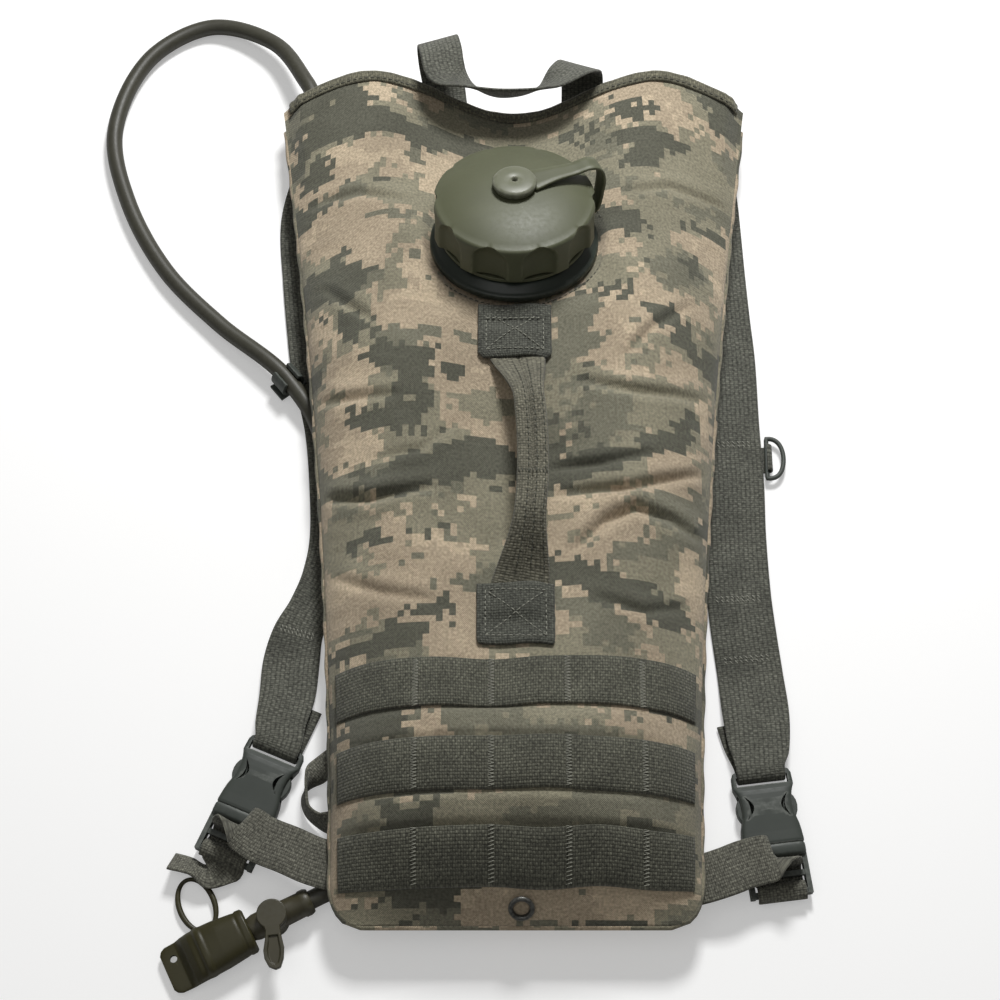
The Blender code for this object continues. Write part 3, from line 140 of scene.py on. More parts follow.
soft_box("key_light", (0.14, 0.80, 0.98), 0.28, 15.0)
soft_box("fill_light", (-0.30, -0.35, 1.5), 1.2, 2.8)
room = bpy.data.worlds.new("room")
room.use_nodes = True
scene.world = room
backdrop = room.node_tree.nodes["Background"]
rays = add(room.node_tree, "ShaderNodeLightPath").outputs
bright = calc(room.node_tree, "MULTIPLY", rays["Is Camera Ray"], 0.85)
room.node_tree.links.new(calc(room.node_tree, "ADD", bright, 0.15), backdrop.inputs["Strength"])
backdrop.inputs["Color"].default_value = (1.0, 0.985, 0.955, 1)
scene.view_settings.view_transform = "Standard"

# Carrier: two panels of printed plain-weave cloth, sewn along the sides and the hem and padded with foam.
# The front swells over the bag and is creased where it has been folded; the back lies flat on the table.
HEM_Y = -0.255
SPAN = 0.480
BELLY = 0.0405
CHEST = 0.030
CLOTH = 0.0015
CROWN_S = [0, 0.03, 0.07, 0.12, 0.165, 0.24, 0.36, 0.55, 0.69, 0.80, 0.89, 1]
CROWN_Z = [0, 0.32 * BELLY, 0.66 * BELLY, 0.92 * BELLY, BELLY, 0.5 * (BELLY + CHEST)]
CROWN_Z += [CHEST, CHEST, 1.02 * CHEST, 0.66 * CHEST, 0.27 * CHEST, 0]
FRONT_EDGE = 0.02165
BACK_EDGE = 0.01835
CORNER = 0.020
PORT_TILT = math.radians(15.5)
PORT = Matrix.Translation((0, 0.129, 0.04145)) @ Matrix.Rotation(-PORT_TILT, 4, "X")
ROW_LOW = [0.0155, 0.0583, 0.1011]
ROW_WIDTH = 0.0265


def ease(t):
    t = np.clip(t, 0.0, 1.0)
    return t * t * (3 - 2 * t)


def through(xs, ys, x):
    """Smooth curve through the points (xs, ys), read at x; ys may hold one number or a point for each."""
    xs = np.asarray(xs, float)
    ys = np.asarray(ys, float)
    flat = ys.ndim == 1
    if flat:
        ys = ys[:, None]
    n = len(xs)
    low = np.maximum(np.arange(n) - 1, 0)
    high = np.minimum(np.arange(n) + 1, n - 1)
    slopes = (ys[high] - ys[low]) / (xs[high] - xs[low])[:, None]
    x = np.clip(np.asarray(x, float), xs[0], xs[-1])
    shape = x.shape
    x = x.ravel()
    i = np.clip(np.searchsorted(xs, x) - 1, 0, n - 2)
    h = (xs[i + 1] - xs[i])[:, None]
    t = (x[:, None] - xs[i][:, None]) / h
    out = (1 + 2 * t) * (1 - t) ** 2 * ys[i] + t * (1 - t) ** 2 * h * slopes[i]
    out = out + t * t * (3 - 2 * t) * ys[i + 1] + t * t * (t - 1) * h * slopes[i + 1]
    return out.reshape(shape) if flat else out.reshape(*shape, ys.shape[1])


def half_width(s):
    s = np.clip(s, 0.0, 1.0)
    wide = 0.092 + 0.044 * s**1.65
    rise = np.clip(CORNER - s * SPAN, 0.0, CORNER)
    return wide - (CORNER - np.sqrt(CORNER**2 - rise**2)) * 0.8


def neckline(u):
    a = np.abs(u)
    inner = 0.030 * np.sin(np.minimum(a, 0.6) / 0.6 * math.pi / 2) ** 2
    outer = 0.026 * (np.clip(a - 0.6, 0, 1) / 0.4) ** 1.6
    return np.where(a < 0.6, inner, 0.030 - outer)


def plan(u, s):
    return u * half_width(s), HEM_Y + s * SPAN + neckline(u) * s * s


def mouth(u, s):
    a = np.abs(u)
    wide = 0.006 + 0.0075 * ease((a - 0.45) / 0.3)
    return wide * (1 - ease((a - 0.92) / 0.08)) * ease((s - 0.8) / 0.2)


def front(u, s):
    swell = np.clip(1 - np.abs(u) ** 2.4, 0, 1) ** 0.625
    return FRONT_EDGE + mouth(u, s) / 2 + through(CROWN_S, CROWN_Z, s) * swell


def back(u, s):
    across = np.clip((np.abs(u) - 0.45) / 0.55, 0, 1) ** 1.6
    along = np.maximum(np.clip((0.1 - s) / 0.1, 0, 1), np.clip((s - 0.85) / 0.15, 0, 1)) ** 1.6
    lift = 1 - (1 - across) * (1 - along)
    return (BACK_EDGE - mouth(u, s) / 2) * lift


def find(x, y):
    """The (u, s) of a place in plan."""
    u = np.zeros_like(np.asarray(x, float))
    s = u + 0.5
    for _ in range(40):
        s = np.clip((y - HEM_Y - neckline(u) * s * s) / SPAN, 0, 1)
        u = np.clip(x / half_width(s), -1, 1)
    return u, s


chance = np.random.RandomState(11)


def ripple(x, y, size):
    """Soft random hills of about a given size, between -1 and 1."""
    table = chance.uniform(-1, 1, (64, 64))
    gx = np.asarray(x) / size + 31.5
    gy = np.asarray(y) / size + 31.5
    i = np.floor(gx).astype(int)
    j = np.floor(gy).astype(int)
    fx = ease(gx - i)
    fy = ease(gy - j)
    i, j = i % 63, j % 63
    low = table[j, i] * (1 - fx) + table[j, i + 1] * fx
    high = table[j + 1, i] * (1 - fx) + table[j + 1, i + 1] * fx
    return low * (1 - fy) + high * fy


def away(x, y, line):
    """Signed distance from a bent line, and how far along it from 0 to 1."""
    best = np.full(np.shape(x), 1e9)
    share = np.zeros(np.shape(x))
    side = np.ones(np.shape(x))
    n = len(line) - 1
    for k in range(n):
        (ax, ay), (bx, by) = line[k], line[k + 1]
        dx, dy = bx - ax, by - ay
        length = dx * dx + dy * dy
        t = np.clip(((x - ax) * dx + (y - ay) * dy) / length, 0, 1)
        d = np.hypot(x - ax - t * dx, y - ay - t * dy)
        nearer = d < best
        best = np.where(nearer, d, best)
        share = np.where(nearer, (k + t) / n, share)
        side = np.where(nearer, np.sign((y - ay) * dx - (x - ax) * dy), side)
    return best * side, share


CREASES = [
    ([(-0.115, 0.031), (-0.089, 0.029), (-0.062, 0.028)], 0.0016, 0.0042),
    ([(-0.108, -0.026), (-0.077, -0.032), (-0.042, -0.029)], 0.0024, 0.0045),
    ([(0.034, 0.034), (0.068, 0.030), (0.106, 0.031)], 0.0018, 0.0042),
    ([(0.018, -0.019), (0.045, -0.015), (0.076, -0.005)], 0.0016, 0.0036),
    ([(0.021, -0.034), (0.061, -0.028), (0.109, -0.010)], 0.0022, 0.0040),
    ([(0.029, -0.067), (0.047, -0.048), (0.063, -0.039), (0.081, -0.043), (0.099, -0.051)], 0.0024, 0.0045),
    ([(0.060, 0.051), (0.077, 0.072), (0.100, 0.090)], 0.0014, 0.0040),
    ([(-0.106, 0.102), (-0.094, 0.089), (-0.078, 0.075)], 0.0014, 0.0040),
    ([(-0.097, -0.073), (-0.070, -0.086), (-0.041, -0.094)], 0.0014, 0.0045),
    ([(-0.030, 0.010), (-0.050, -0.006), (-0.078, -0.010)], 0.0010, 0.0040),
    ([(-0.118, 0.160), (-0.090, 0.166), (-0.062, 0.158)], 0.0012, 0.0040),
    ([(0.062, 0.165), (0.090, 0.170), (0.121, 0.160)], 0.0012, 0.0040),
    ([(0.040, -0.092), (0.066, -0.098), (0.092, -0.090)], 0.0012, 0.0040),
]


def relief(u, s):
    """Creases, puckers and soft hills of the front cloth over its plain form."""
    x, y = plan(u, s)
    out = 0.0011 * ripple(x, y, 0.034) + 0.0005 * ripple(x, y, 0.013) + 0.00022 * ripple(x, y, 0.006)
    for line, depth, wide in CREASES:
        d, t = away(x, y, line)
        fade = np.sin(np.clip(t, 0, 1) * math.pi) ** 0.6 * 0.9 + 0.1
        wide = 0.62 * wide
        depth = 1.9 * depth
        near = np.exp(-((d / wide) ** 2))
        shoulder = np.exp(-(((d - 2.1 * wide) / (1.9 * wide)) ** 2))
        other = np.exp(-(((d + 2.1 * wide) / (1.9 * wide)) ** 2))
        out = out + depth * fade * (0.62 * shoulder + 0.28 * other - near)
    edge = (1 - np.abs(u)) * half_width(s)
    pucker = np.sin(y / 0.0085 * 2 * math.pi + 4 * ripple(x, y, 0.03))
    out = out + 0.0005 * pucker * np.exp(-edge / 0.009)
    for low in (0.5 * (ROW_LOW[0] + ROW_WIDTH + ROW_LOW[1]), 0.5 * (ROW_LOW[1] + ROW_WIDTH + ROW_LOW[2])):
        d = (y - HEM_Y - low) / 0.0080
        out = out + 0.0021 * np.exp(-(d**4)) * (1 - np.abs(u) ** 5)
    hold = ease(edge / 0.010) * ease(s / 0.02) * ease((1 - s) / 0.05)
    for low in ROW_LOW:
        d = np.abs(y - HEM_Y - low - ROW_WIDTH / 2) - ROW_WIDTH / 2
        press = ease(1 - d / 0.0035)
        out = np.minimum(out, 0.004 * (1 - press) - 0.0002)
        out = out * (1 - 0.8 * press)
    for tab_y in (0.062, -0.103):
        d = np.maximum(np.abs(x) - 0.0225, np.abs(y - tab_y) - 0.0195)
        out = out * ease(d / 0.009)
    return out * hold


def around_port(x, y, z):
    """Distance of points from the filler port's axis, and their turn about it."""
    inverse = np.array(PORT.inverted())
    local = inverse[:3, :3] @ np.stack([x.ravel(), y.ravel(), z.ravel()]) + inverse[:3, 3:4]
    r = np.hypot(local[0], local[1]).reshape(x.shape)
    return r, np.arctan2(local[1], local[0]).reshape(x.shape)


def net(name, points, metres=None, wrap=False, caps=False, keep=None):
    """A smooth mesh over a net of points; metres holds each point's flat measure for the weave."""
    points = np.asarray(points, float)
    rows, cols = points.shape[:2]
    faces, corners = [], []
    for j in range(rows - 1):
        for i in range(cols if wrap else cols - 1):
            m = (i + 1) % cols
            face = (j * cols + i, j * cols + m, (j + 1) * cols + m, (j + 1) * cols + i)
            if keep is not None and not all(keep[k // cols, k % cols] for k in face):
                continue
            faces.append(face)
            corners += [(j, i), (j, i + 1), (j + 1, i + 1), (j + 1, i)]
    if caps:
        for j in (0, rows - 1):
            ring = [j * cols + i for i in range(cols)]
            faces.append(tuple(ring[::-1] if j == 0 else ring))
            spots = [(j, i) for i in range(cols)]
            corners += spots[::-1] if j == 0 else spots
    mesh = bpy.data.meshes.new(name)
    mesh.from_pydata(points.reshape(-1, 3).tolist(), [], faces)
    mesh.polygons.foreach_set("use_smooth", [True] * len(faces))
    if metres is not None:
        layer = mesh.uv_layers.new(name="metres")
        layer.data.foreach_set("uv", np.array([metres[j][i] for j, i in corners], float).ravel())
    mesh.update()
    return show(name, mesh)


def flat_measure(points):
    """Lengths along the net's rows and columns, from its middle column and first row."""
    points = np.asarray(points, float)
    step = np.linalg.norm(np.diff(points, axis=1), axis=2)
    across = np.concatenate([np.zeros((len(points), 1)), np.cumsum(step, axis=1)], axis=1)
    across = across - across[:, [points.shape[1] // 2]]
    middle = points[:, points.shape[1] // 2]
    along = np.concatenate([[0], np.cumsum(np.linalg.norm(np.diff(middle, axis=0), axis=1))])
    return np.stack([across, np.repeat(along[:, None], points.shape[1], axis=1)], axis=2)


def camouflage(name, seed):
    """Plain weave printed with square-edged blotches of tan, sage and grey green, a little faded."""
    look, tree, shader = blank(name)
    place = add(tree, "ShaderNodeUVMap", uv_map="metres").outputs[0]
    cells = add(
        tree, "ShaderNodeVectorMath", {0: place, 1: (0.0034, 0.0034, 1.0)}, operation="SNAP"
    ).outputs[0]
    speck = add(tree, "ShaderNodeTexWhiteNoise", {"Vector": cells}, noise_dimensions="2D").outputs["Value"]

    def blotch(shift, long, tall, level, loose):
        moved = add(
            tree,
            "ShaderNodeMapping",
            {"Vector": cells, "Location": (seed + shift, 2 * shift, 0), "Scale": (1 / long, 1 / tall, 1)},
        ).outputs[0]
        made = add(
            tree, "ShaderNodeTexNoise", {"Vector": moved, "Scale": 1.0, "Detail": 2.2, "Roughness": 0.55}
        )
        shaken = calc(tree, "ADD", made.outputs["Fac"], calc(tree, "MULTIPLY", speck, loose))
        return calc(tree, "GREATER_THAN", shaken, level)

    colour = mixed(
        tree, blotch(3.1, 0.074, 0.052, 0.535, 0.06), (0.262, 0.243, 0.172, 1), (0.430, 0.350, 0.248, 1)
    )
    colour = mixed(tree, blotch(9.4, 0.052, 0.034, 0.635, 0.07), colour, (0.520, 0.425, 0.300, 1))
    colour = mixed(tree, blotch(12.9, 0.058, 0.036, 0.600, 0.07), colour, (0.185, 0.178, 0.130, 1))
    colour = mixed(tree, blotch(21.3, 0.066, 0.036, 0.600, 0.06), colour, (0.108, 0.107, 0.080, 1))
    soil = add(tree, "ShaderNodeTexNoise", {"Vector": place, "Scale": 22.0, "Detail": 4.0}).outputs["Fac"]
    colour = mixed(tree, 1.0, colour, spread(tree, soil, 0.3, 0.75, 1.08, 0.76), "MULTIPLY")
    split = add(tree, "ShaderNodeSeparateXYZ", {0: place}).outputs
    warp = calc(tree, "SINE", calc(tree, "MULTIPLY", split[0], 2 * math.pi / 0.0011))
    weft = calc(tree, "SINE", calc(tree, "MULTIPLY", split[1], 2 * math.pi / 0.0011))
    weave = calc(tree, "MULTIPLY", warp, weft)
    colour = mixed(tree, 1.0, colour, spread(tree, weave, -1, 1, 0.86, 1.14), "MULTIPLY")
    fuzz = add(tree, "ShaderNodeTexNoise", {"Vector": place, "Scale": 700.0, "Detail": 2.0}).outputs["Fac"]
    colour = mixed(tree, 1.0, colour, spread(tree, fuzz, 0.3, 0.7, 0.72, 1.28), "MULTIPLY")
    height = calc(tree, "ADD", calc(tree, "MULTIPLY", weave, 0.4), fuzz)
    bump = add(tree, "ShaderNodeBump", {"Strength": 0.5, "Distance": 0.0005, "Height": height})
    tree.links.new(colour, shader.inputs["Base Color"])
    tree.links.new(spread(tree, soil, 0.3, 0.7, 0.80, 0.92), shader.inputs["Roughness"])
    tree.links.new(bump.outputs[0], shader.inputs["Normal"])
    shader.inputs["Sheen Weight"].default_value = 0.18
    shader.inputs["Sheen Roughness"].default_value = 0.5
    shader.inputs["Specular IOR Level"].default_value = 0.25
    return look


def thickened(obj, thick, offset=-1.0):
    """Give a one-sided sheet its thickness."""
    made = obj.modifiers.new("thick", "SOLIDIFY")
    made.thickness = thick
    made.offset = offset
    return obj


def dressed(obj, look, body, slot, *nodes):
    """Hand a piece its finish, the body that carries it and the frame parts that it stands for."""
    obj.data.materials.append(look)
    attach(obj, body)
    if nodes:
        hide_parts(*nodes)
    return obj


print_front = camouflage("camouflage_front", 4.0)
ACROSS = np.sin(np.linspace(-1, 1, 181) * math.pi / 2)
ALONG = np.concatenate([np.linspace(0, 0.06, 30)[:-1], np.linspace(0.06, 1, 280)])
U, S = np.meshgrid(ACROSS, ALONG)
X, Y = plan(U, S)
Z = front(U, S)
flat = flat_measure(np.stack([X, Y, Z], axis=2))
Z = Z + relief(U, S)
turn_r, turn_t = around_port(X, Y, Z)
Z = Z + 0.0007 * np.sin(11 * turn_t + 2 * np.sin(3 * turn_t)) * np.exp(-(((turn_r - 0.062) / 0.010) ** 2))
Z = Z - 0.0052 * ease((0.0535 - turn_r) / 0.0065)
panel = net("front_cloth", np.stack([X, Y, Z], axis=2), flat, keep=turn_r > 0.0425)
thickened(panel, CLOTH)
dressed(panel, print_front, "pack", "camouflage_cloth", "front_panel")

US, SS = np.meshgrid(np.sin(np.linspace(-1, 1, 91) * math.pi / 2), np.linspace(0, 1, 140))
X, Y = plan(US, SS)
Z = back(US, SS)
lay = np.stack([X, Y, Z], axis=2)
hollow = 0.0009 * ripple(X, Y, 0.030) * ease((1 - np.abs(US)) / 0.2) * ease(SS / 0.1) * ease((1 - SS) / 0.1)
lay[:, :, 2] = np.maximum(Z + hollow * ease(Z / 0.004), 0.0)
rear = net("back_cloth", lay[:, ::-1], flat_measure(lay)[:, ::-1])
thickened(rear, CLOTH)
dressed(rear, print_front, "pack", "camouflage_cloth", "back_panel")


# Seam: the two panels' edges, turned in and sewn together down each side and along the hem.
# It is of the panels' own printed cloth and stands out as a narrow rim.
def swept(name, path, radius, around=10, closed=False, shape=None, caps=True, lift=(0, 0, 1)):
    """A bar with a round or given section along a path."""
    path = np.asarray(path, float)
    n = len(path)
    if closed:
        along = np.roll(path, -1, axis=0) - np.roll(path, 1, axis=0)
    else:
        along = np.gradient(path, axis=0)
    along = along / np.linalg.norm(along, axis=1)[:, None]
    side = np.cross(np.asarray(lift, float)[None, :], along)
    side = side / np.maximum(np.linalg.norm(side, axis=1), 1e-9)[:, None]
    up = np.cross(along, side)
    turn = np.linspace(0, 2 * math.pi, around, endpoint=False)
    ring = np.stack([np.cos(turn), np.sin(turn)], axis=1) if shape is None else np.asarray(shape, float)
    radius = np.broadcast_to(np.asarray(radius, float), (n,))[:, None, None]
    points = path[:, None] + radius * (ring[None, :, :1] * side[:, None] + ring[None, :, 1:] * up[:, None])
    if closed:
        points = np.concatenate([points, points[:1]])
    steps = np.linalg.norm(np.diff(points[:, 0], axis=0), axis=1)
    length = np.concatenate([[0], np.cumsum(steps)])
    girth = np.linspace(0, 2 * math.pi * float(radius.mean()), len(ring) + 1)
    metres = np.stack(np.meshgrid(girth, length), axis=2)
    return net(name, points, metres, wrap=True, caps=caps and not closed)


t = np.linspace(1, 0, 150)
left = np.stack(plan(-1 + 0 * t, t) + (0.0200 + 0 * t,), axis=1)[4:]
base = np.linspace(-1, 1, 80)[1:-1]
hem = np.stack(plan(base, 0 * base) + (0.0200 + 0 * base,), axis=1)
right = (left * np.array([-1, 1, 1]))[::-1]
seam_path = np.concatenate([left, hem, right])
seam_path[:, 0] += 0.0003 * np.sin(np.arange(len(seam_path)) * 0.9)
seam = swept("side_seam", seam_path, 0.0017, 8)
dressed(seam, print_front, "pack", "camouflage_cloth")

# Padding: a sheet of grey foam behind each panel, seen only through the open top.
# Each is cut to its panel, the front one round the filler port, and held by the seams.
look, tree, shader = blank("foam_grey")
pores = add(tree, "ShaderNodeTexVoronoi", {"Scale": 600.0}).outputs["Distance"]
tree.links.new(mixed(tree, pores, (0.30, 0.30, 0.28, 1), (0.46, 0.46, 0.43, 1)), shader.inputs["Base Color"])
shader.inputs["Roughness"].default_value = 0.95
foam = look
U2, S2 = np.meshgrid(np.linspace(-0.93, 0.93, 61), np.linspace(0.05, 0.925, 110))
X, Y = plan(U2, S2)
room_in = front(U2, S2) - back(U2, S2) - 2 * CLOTH
deep = np.maximum(0.0008, np.minimum(np.minimum(0.005, 0.32 * room_in), 0.5 * (room_in - 0.012 - 0.0012)))
top = front(U2, S2) - CLOTH - 0.0030 * ease((1 - np.abs(U2)) / 0.2)
turn_r, turn_t = around_port(X, Y, top)
pad = net("front_padding", np.stack([X, Y, top], axis=2), keep=turn_r > 0.056)
thickened(pad, 0.0020)
dressed(pad, foam, "pack", "foam", "front_insulation")
low = back(U2, S2) + CLOTH + 0.0003 + deep
pad = net("back_padding", np.stack([X, Y, low], axis=2))
thickened(pad, 0.0006)
dressed(pad, foam, "pack", "foam", "back_insulation")


# Thread: every seam that shows is sewn with small raised stitches, one mesh for each group.
# It is a matt twisted thread, dark on the cloth and paler on the webbing.
def sewn(name, stitches, thick, look, body, slot):
    """Each stitch runs from a to b on a face whose outward direction is n."""
    verts, faces = [], []
    turns = [2 * math.pi * k / 6 for k in range(6)]
    for a, b, n in stitches:
        a, b, n = Vector(a), Vector(b), Vector(n).normalized()
        along = b - a
        side = n.cross(along).normalized()
        start = len(verts)
        for t, r, h in (
            (0, 0.5, -0.3), (0.18, 0.95, 0.5), (0.5, 1.05, 0.8), (0.82, 0.95, 0.5), (1, 0.5, -0.3)
        ):
            mid = a + along * t + n * (h * thick)
            for w in turns:
                verts.append(mid + (side * math.cos(w) + n * math.sin(w)) * (r * thick))
        for j in range(4):
            for k in range(6):
                m = (k + 1) % 6
                q = start + 6 * j
                faces.append((q + k, q + m, q + 6 + m, q + 6 + k))
        faces.append(tuple(start + k for k in range(5, -1, -1)))
        faces.append(tuple(start + 24 + k for k in range(6)))
    mesh = bpy.data.meshes.new(name)
    mesh.from_pydata([tuple(v) for v in verts], [], faces)
    mesh.polygons.foreach_set("use_smooth", [True] * len(faces))
    obj = show(name, mesh)
    if body is None:
        mesh.materials.append(look)
        return obj
    return dressed(obj, look, body, slot)


def run(points, normals, pitch, length):
    """Stitches of a given length at a given pitch along a line of points."""
    points = np.asarray(points, float)
    normals = np.broadcast_to(np.asarray(normals, float), points.shape)
    spans = np.concatenate([[0], np.cumsum(np.linalg.norm(np.diff(points, axis=0), axis=1))])
    out = []
    for k in range(int((spans[-1] - length) / pitch) + 1):
        ends = [k * pitch, k * pitch + length]
        a, b = [np.array([np.interp(e, spans, points[:, c]) for c in range(3)]) for e in ends]
        n = np.array([np.interp(ends[0], spans, normals[:, c]) for c in range(3)])
        out.append((a, b, n))
    return out


def spun(name, colour, other):
    """Twisted thread, a little uneven in colour."""
    look, tree, shader = blank(name)
    twist = add(tree, "ShaderNodeTexNoise", {"Scale": 500.0, "Detail": 2.0}).outputs["Fac"]
    tree.links.new(mixed(tree, twist, (*colour, 1), (*other, 1)), shader.inputs["Base Color"])
    shader.inputs["Roughness"].default_value = 0.75
    return look


pale_thread = spun("pale_thread", (0.24, 0.24, 0.20), (0.42, 0.42, 0.36))
dark_thread = spun("dark_thread", (0.05, 0.052, 0.04), (0.11, 0.11, 0.085))


# Edge tape: ribbed tape folded over each panel's top edge and sewn through, gathered at the corners.
# It is narrow woven tape that closes the raw edges of cloth and foam.
def woven(name, colour, dark, pitch, deep=0.0005, grid=0.5):
    """Woven webbing or tape: cords with dark joints between them; pitch is (across, along)."""
    look, tree, shader = blank(name)
    place = add(tree, "ShaderNodeUVMap", uv_map="metres").outputs[0]
    shake = add(tree, "ShaderNodeTexNoise", {"Vector": place, "Scale": 260.0, "Detail": 1.0}).outputs["Color"]
    shift = add(
        tree, "ShaderNodeVectorMath", {0: shake, 1: (0.0004, 0.0004, 0)}, operation="MULTIPLY"
    ).outputs[0]
    moved = add(tree, "ShaderNodeVectorMath", {0: place, 1: shift}, operation="ADD").outputs[0]
    split = add(tree, "ShaderNodeSeparateXYZ", {0: moved}).outputs
    x = calc(tree, "SINE", calc(tree, "MULTIPLY", split[0], math.pi / pitch[0]))
    y = calc(tree, "SINE", calc(tree, "MULTIPLY", split[1], math.pi / pitch[1]))
    cords = calc(tree, "POWER", calc(tree, "ABSOLUTE", x), grid)
    ribs = calc(tree, "POWER", calc(tree, "ABSOLUTE", y), grid)
    cell = calc(tree, "MULTIPLY", cords, ribs)
    over = calc(tree, "SIGN", calc(tree, "MULTIPLY", x, y))
    height = calc(tree, "MULTIPLY", cell, spread(tree, over, -1, 1, 0.6, 1.0))
    wear = add(tree, "ShaderNodeTexNoise", {"Vector": place, "Scale": 60.0, "Detail": 5.0}).outputs["Fac"]
    hue = mixed(
        tree, spread(tree, wear, 0.3, 0.7, 0, 1), (*[c * 0.74 for c in colour], 1),
        (*[c * 1.26 for c in colour], 1)
    )
    hue = mixed(tree, spread(tree, height, 0.0, 0.75, 0, 1), (*dark, 1), hue)
    fibre = add(tree, "ShaderNodeTexNoise", {"Vector": place, "Scale": 620.0, "Detail": 3.0}).outputs["Fac"]
    hue = mixed(tree, 1.0, hue, spread(tree, fibre, 0.32, 0.68, 0.52, 1.5), "MULTIPLY")
    bump = add(tree, "ShaderNodeBump", {"Strength": 0.7, "Distance": deep, "Height": height})
    tree.links.new(hue, shader.inputs["Base Color"])
    tree.links.new(bump.outputs[0], shader.inputs["Normal"])
    shader.inputs["Roughness"].default_value = 0.82
    shader.inputs["Sheen Weight"].default_value = 0.15
    shader.inputs["Specular IOR Level"].default_value = 0.3
    return look


tape = woven("edge_tape", (0.150, 0.143, 0.100), (0.070, 0.067, 0.047), (0.0030, 0.0013), 0.0004)


def edge_tape(name, outer, inner, node):
    """Tape over a top edge; outer and inner are the heights of the panel's two faces."""
    u = np.linspace(-0.975, 0.975, 260)
    drop = 0.0135 + 0.0008 * ripple(u * 0.13, 0 * u + 0.2, 0.012)
    lift = 0.0011 + 0.0003 * ripple(u * 0.13, 0 * u + 0.1, 0.006)
    lift = lift + 0.0016 * ease((np.abs(u) - 0.90) / 0.07) * (0.6 + 0.4 * np.sin(u * 160))
    lines = []
    for share, out, face in (
        (1, 1, 0), (0.66, 1.15, 0), (0.33, 1.2, 0), (0.05, 1.1, 0), (0, 0.6, 2), (0, 0.6, 3)
    ):
        s = 1 - drop * share
        x, y = plan(u, s)
        high, low = outer(u, s), inner(u, s)
        if face == 0:
            z = high + lift * out
        else:
            y = y + lift
            z = high + lift * 0.3 if face == 2 else low - lift * 0.3
        lines.append(np.stack([x, y, z], axis=1))
    for share, out in ((0.05, 1.0), (0.4, 1.0), (0.9, 1.0)):
        s = 1 - drop * share
        x, y = plan(u, s)
        lines.append(np.stack([x, y, inner(u, s) - lift * out], axis=1))
    points = np.stack(lines, axis=0)
    along = np.concatenate([[0], np.cumsum(np.hypot(np.diff(points[2, :, 0]), np.diff(points[2, :, 1])))])
    down = np.concatenate([[0], np.cumsum(np.linalg.norm(np.diff(points[:, 130], axis=0), axis=1))])
    metres = np.stack(np.meshgrid(along, down), axis=2)[:, :, ::-1]
    obj = thickened(net(name, points, metres), 0.0008)
    dressed(obj, tape, "pack", "edge_tape", node)
    x, y = plan(u, 1 - drop * 0.72)
    z = outer(u, 1 - drop * 0.72) + lift * 1.15
    return run(np.stack([x, y, z], axis=1), (0, 0.3, 1), 0.0036, 0.0024)


seams = edge_tape("front_edge_tape", front, lambda u, s: front(u, s) - CLOTH, "front_binding")
edge_tape("back_edge_tape", lambda u, s: back(u, s) + CLOTH, back, "back_binding")
sewn("edge_stitches", seams, 0.00032, dark_thread, "pack", "edge_tape")

# Reservoir: a welded bag of clear grey film between the paddings.
# The filler port is its mouth, and an elbow at its lower end feeds the hose.
look, tree, shader = blank("bag_film")
haze = add(tree, "ShaderNodeTexNoise", {"Scale": 30.0, "Detail": 4.0}).outputs["Fac"]
tree.links.new(mixed(tree, haze, (0.34, 0.38, 0.40, 1), (0.46, 0.50, 0.52, 1)), shader.inputs["Base Color"])
tree.links.new(spread(tree, haze, 0.3, 0.7, 0.22, 0.4), shader.inputs["Roughness"])
bag_film = look


def rounded_copy(name, node, levels):
    """A smooth skin of the same form as one of the frame's plain soft solids."""
    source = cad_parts[node]
    mesh = source.data.copy()
    mesh.transform(source.matrix_world)
    mesh.materials.clear()
    obj = show(name, mesh)
    welded(obj)
    made = obj.modifiers.new("smooth", "SUBSURF")
    made.levels = made.render_levels = levels
    return obj


def welded(obj):
    """Merge doubled points and turn the faces outward."""
    bm = bmesh.new()
    bm.from_mesh(obj.data)
    bmesh.ops.remove_doubles(bm, verts=bm.verts, dist=1e-6)
    bmesh.ops.recalc_face_normals(bm, faces=bm.faces)
    if bm.calc_volume(signed=True) < 0:
        bmesh.ops.reverse_faces(bm, faces=bm.faces)
    bm.to_mesh(obj.data)
    bm.free()
    return obj


bag = rounded_copy("film_bag", "reservoir", 1)
for part in bag.data.polygons:
    part.use_smooth = True
dressed(bag, bag_film, "pack", "bag_film", "reservoir")


# Filler port: a moulded rubber collar with a wide flange over the cloth and a threaded neck.
# The cloth is sewn round it with one row of stitches.
def turned(name, profile, segments, matrix, radius=None):
    """Turn a closed (r, z) outline about an axis; an outline that starts at r = 0 is solid in the middle."""
    profile = np.asarray(profile, float)
    t = np.linspace(0, 2 * math.pi, segments, endpoint=False)
    r = np.maximum(profile[:, :1], 1e-5) + 0 * t[None, :]
    z = profile[:, 1:] + 0 * r
    if radius is not None:
        r = radius(r, z, t[None, :] + 0 * r)
    local = np.stack([r * np.cos(t), r * np.sin(t), z], axis=2)
    if profile[0, 0] > 0:
        local = np.concatenate([local, local[:1]])
    m = np.array(matrix)
    points = local @ m[:3, :3].T + m[:3, 3]
    girth = np.linspace(0, 2 * math.pi * profile[:, 0].max(), segments + 1)
    length = np.concatenate([[0], np.cumsum(np.linalg.norm(np.diff(local[:, 0], axis=0), axis=1))])
    metres = np.stack(np.meshgrid(girth, length), axis=2)
    obj = net(name, points[:, ::-1], metres[:, ::-1], wrap=True, caps=profile[0, 0] == 0)
    welded(obj)
    return obj


def softened(obj, width, segments=3, angle=32):
    """Round off the sharp edges of a moulded part."""
    made = obj.modifiers.new("round", "BEVEL")
    made.width = width
    made.segments = segments
    made.limit_method = "ANGLE"
    made.angle_limit = math.radians(angle)
    made.harden_normals = True
    return obj


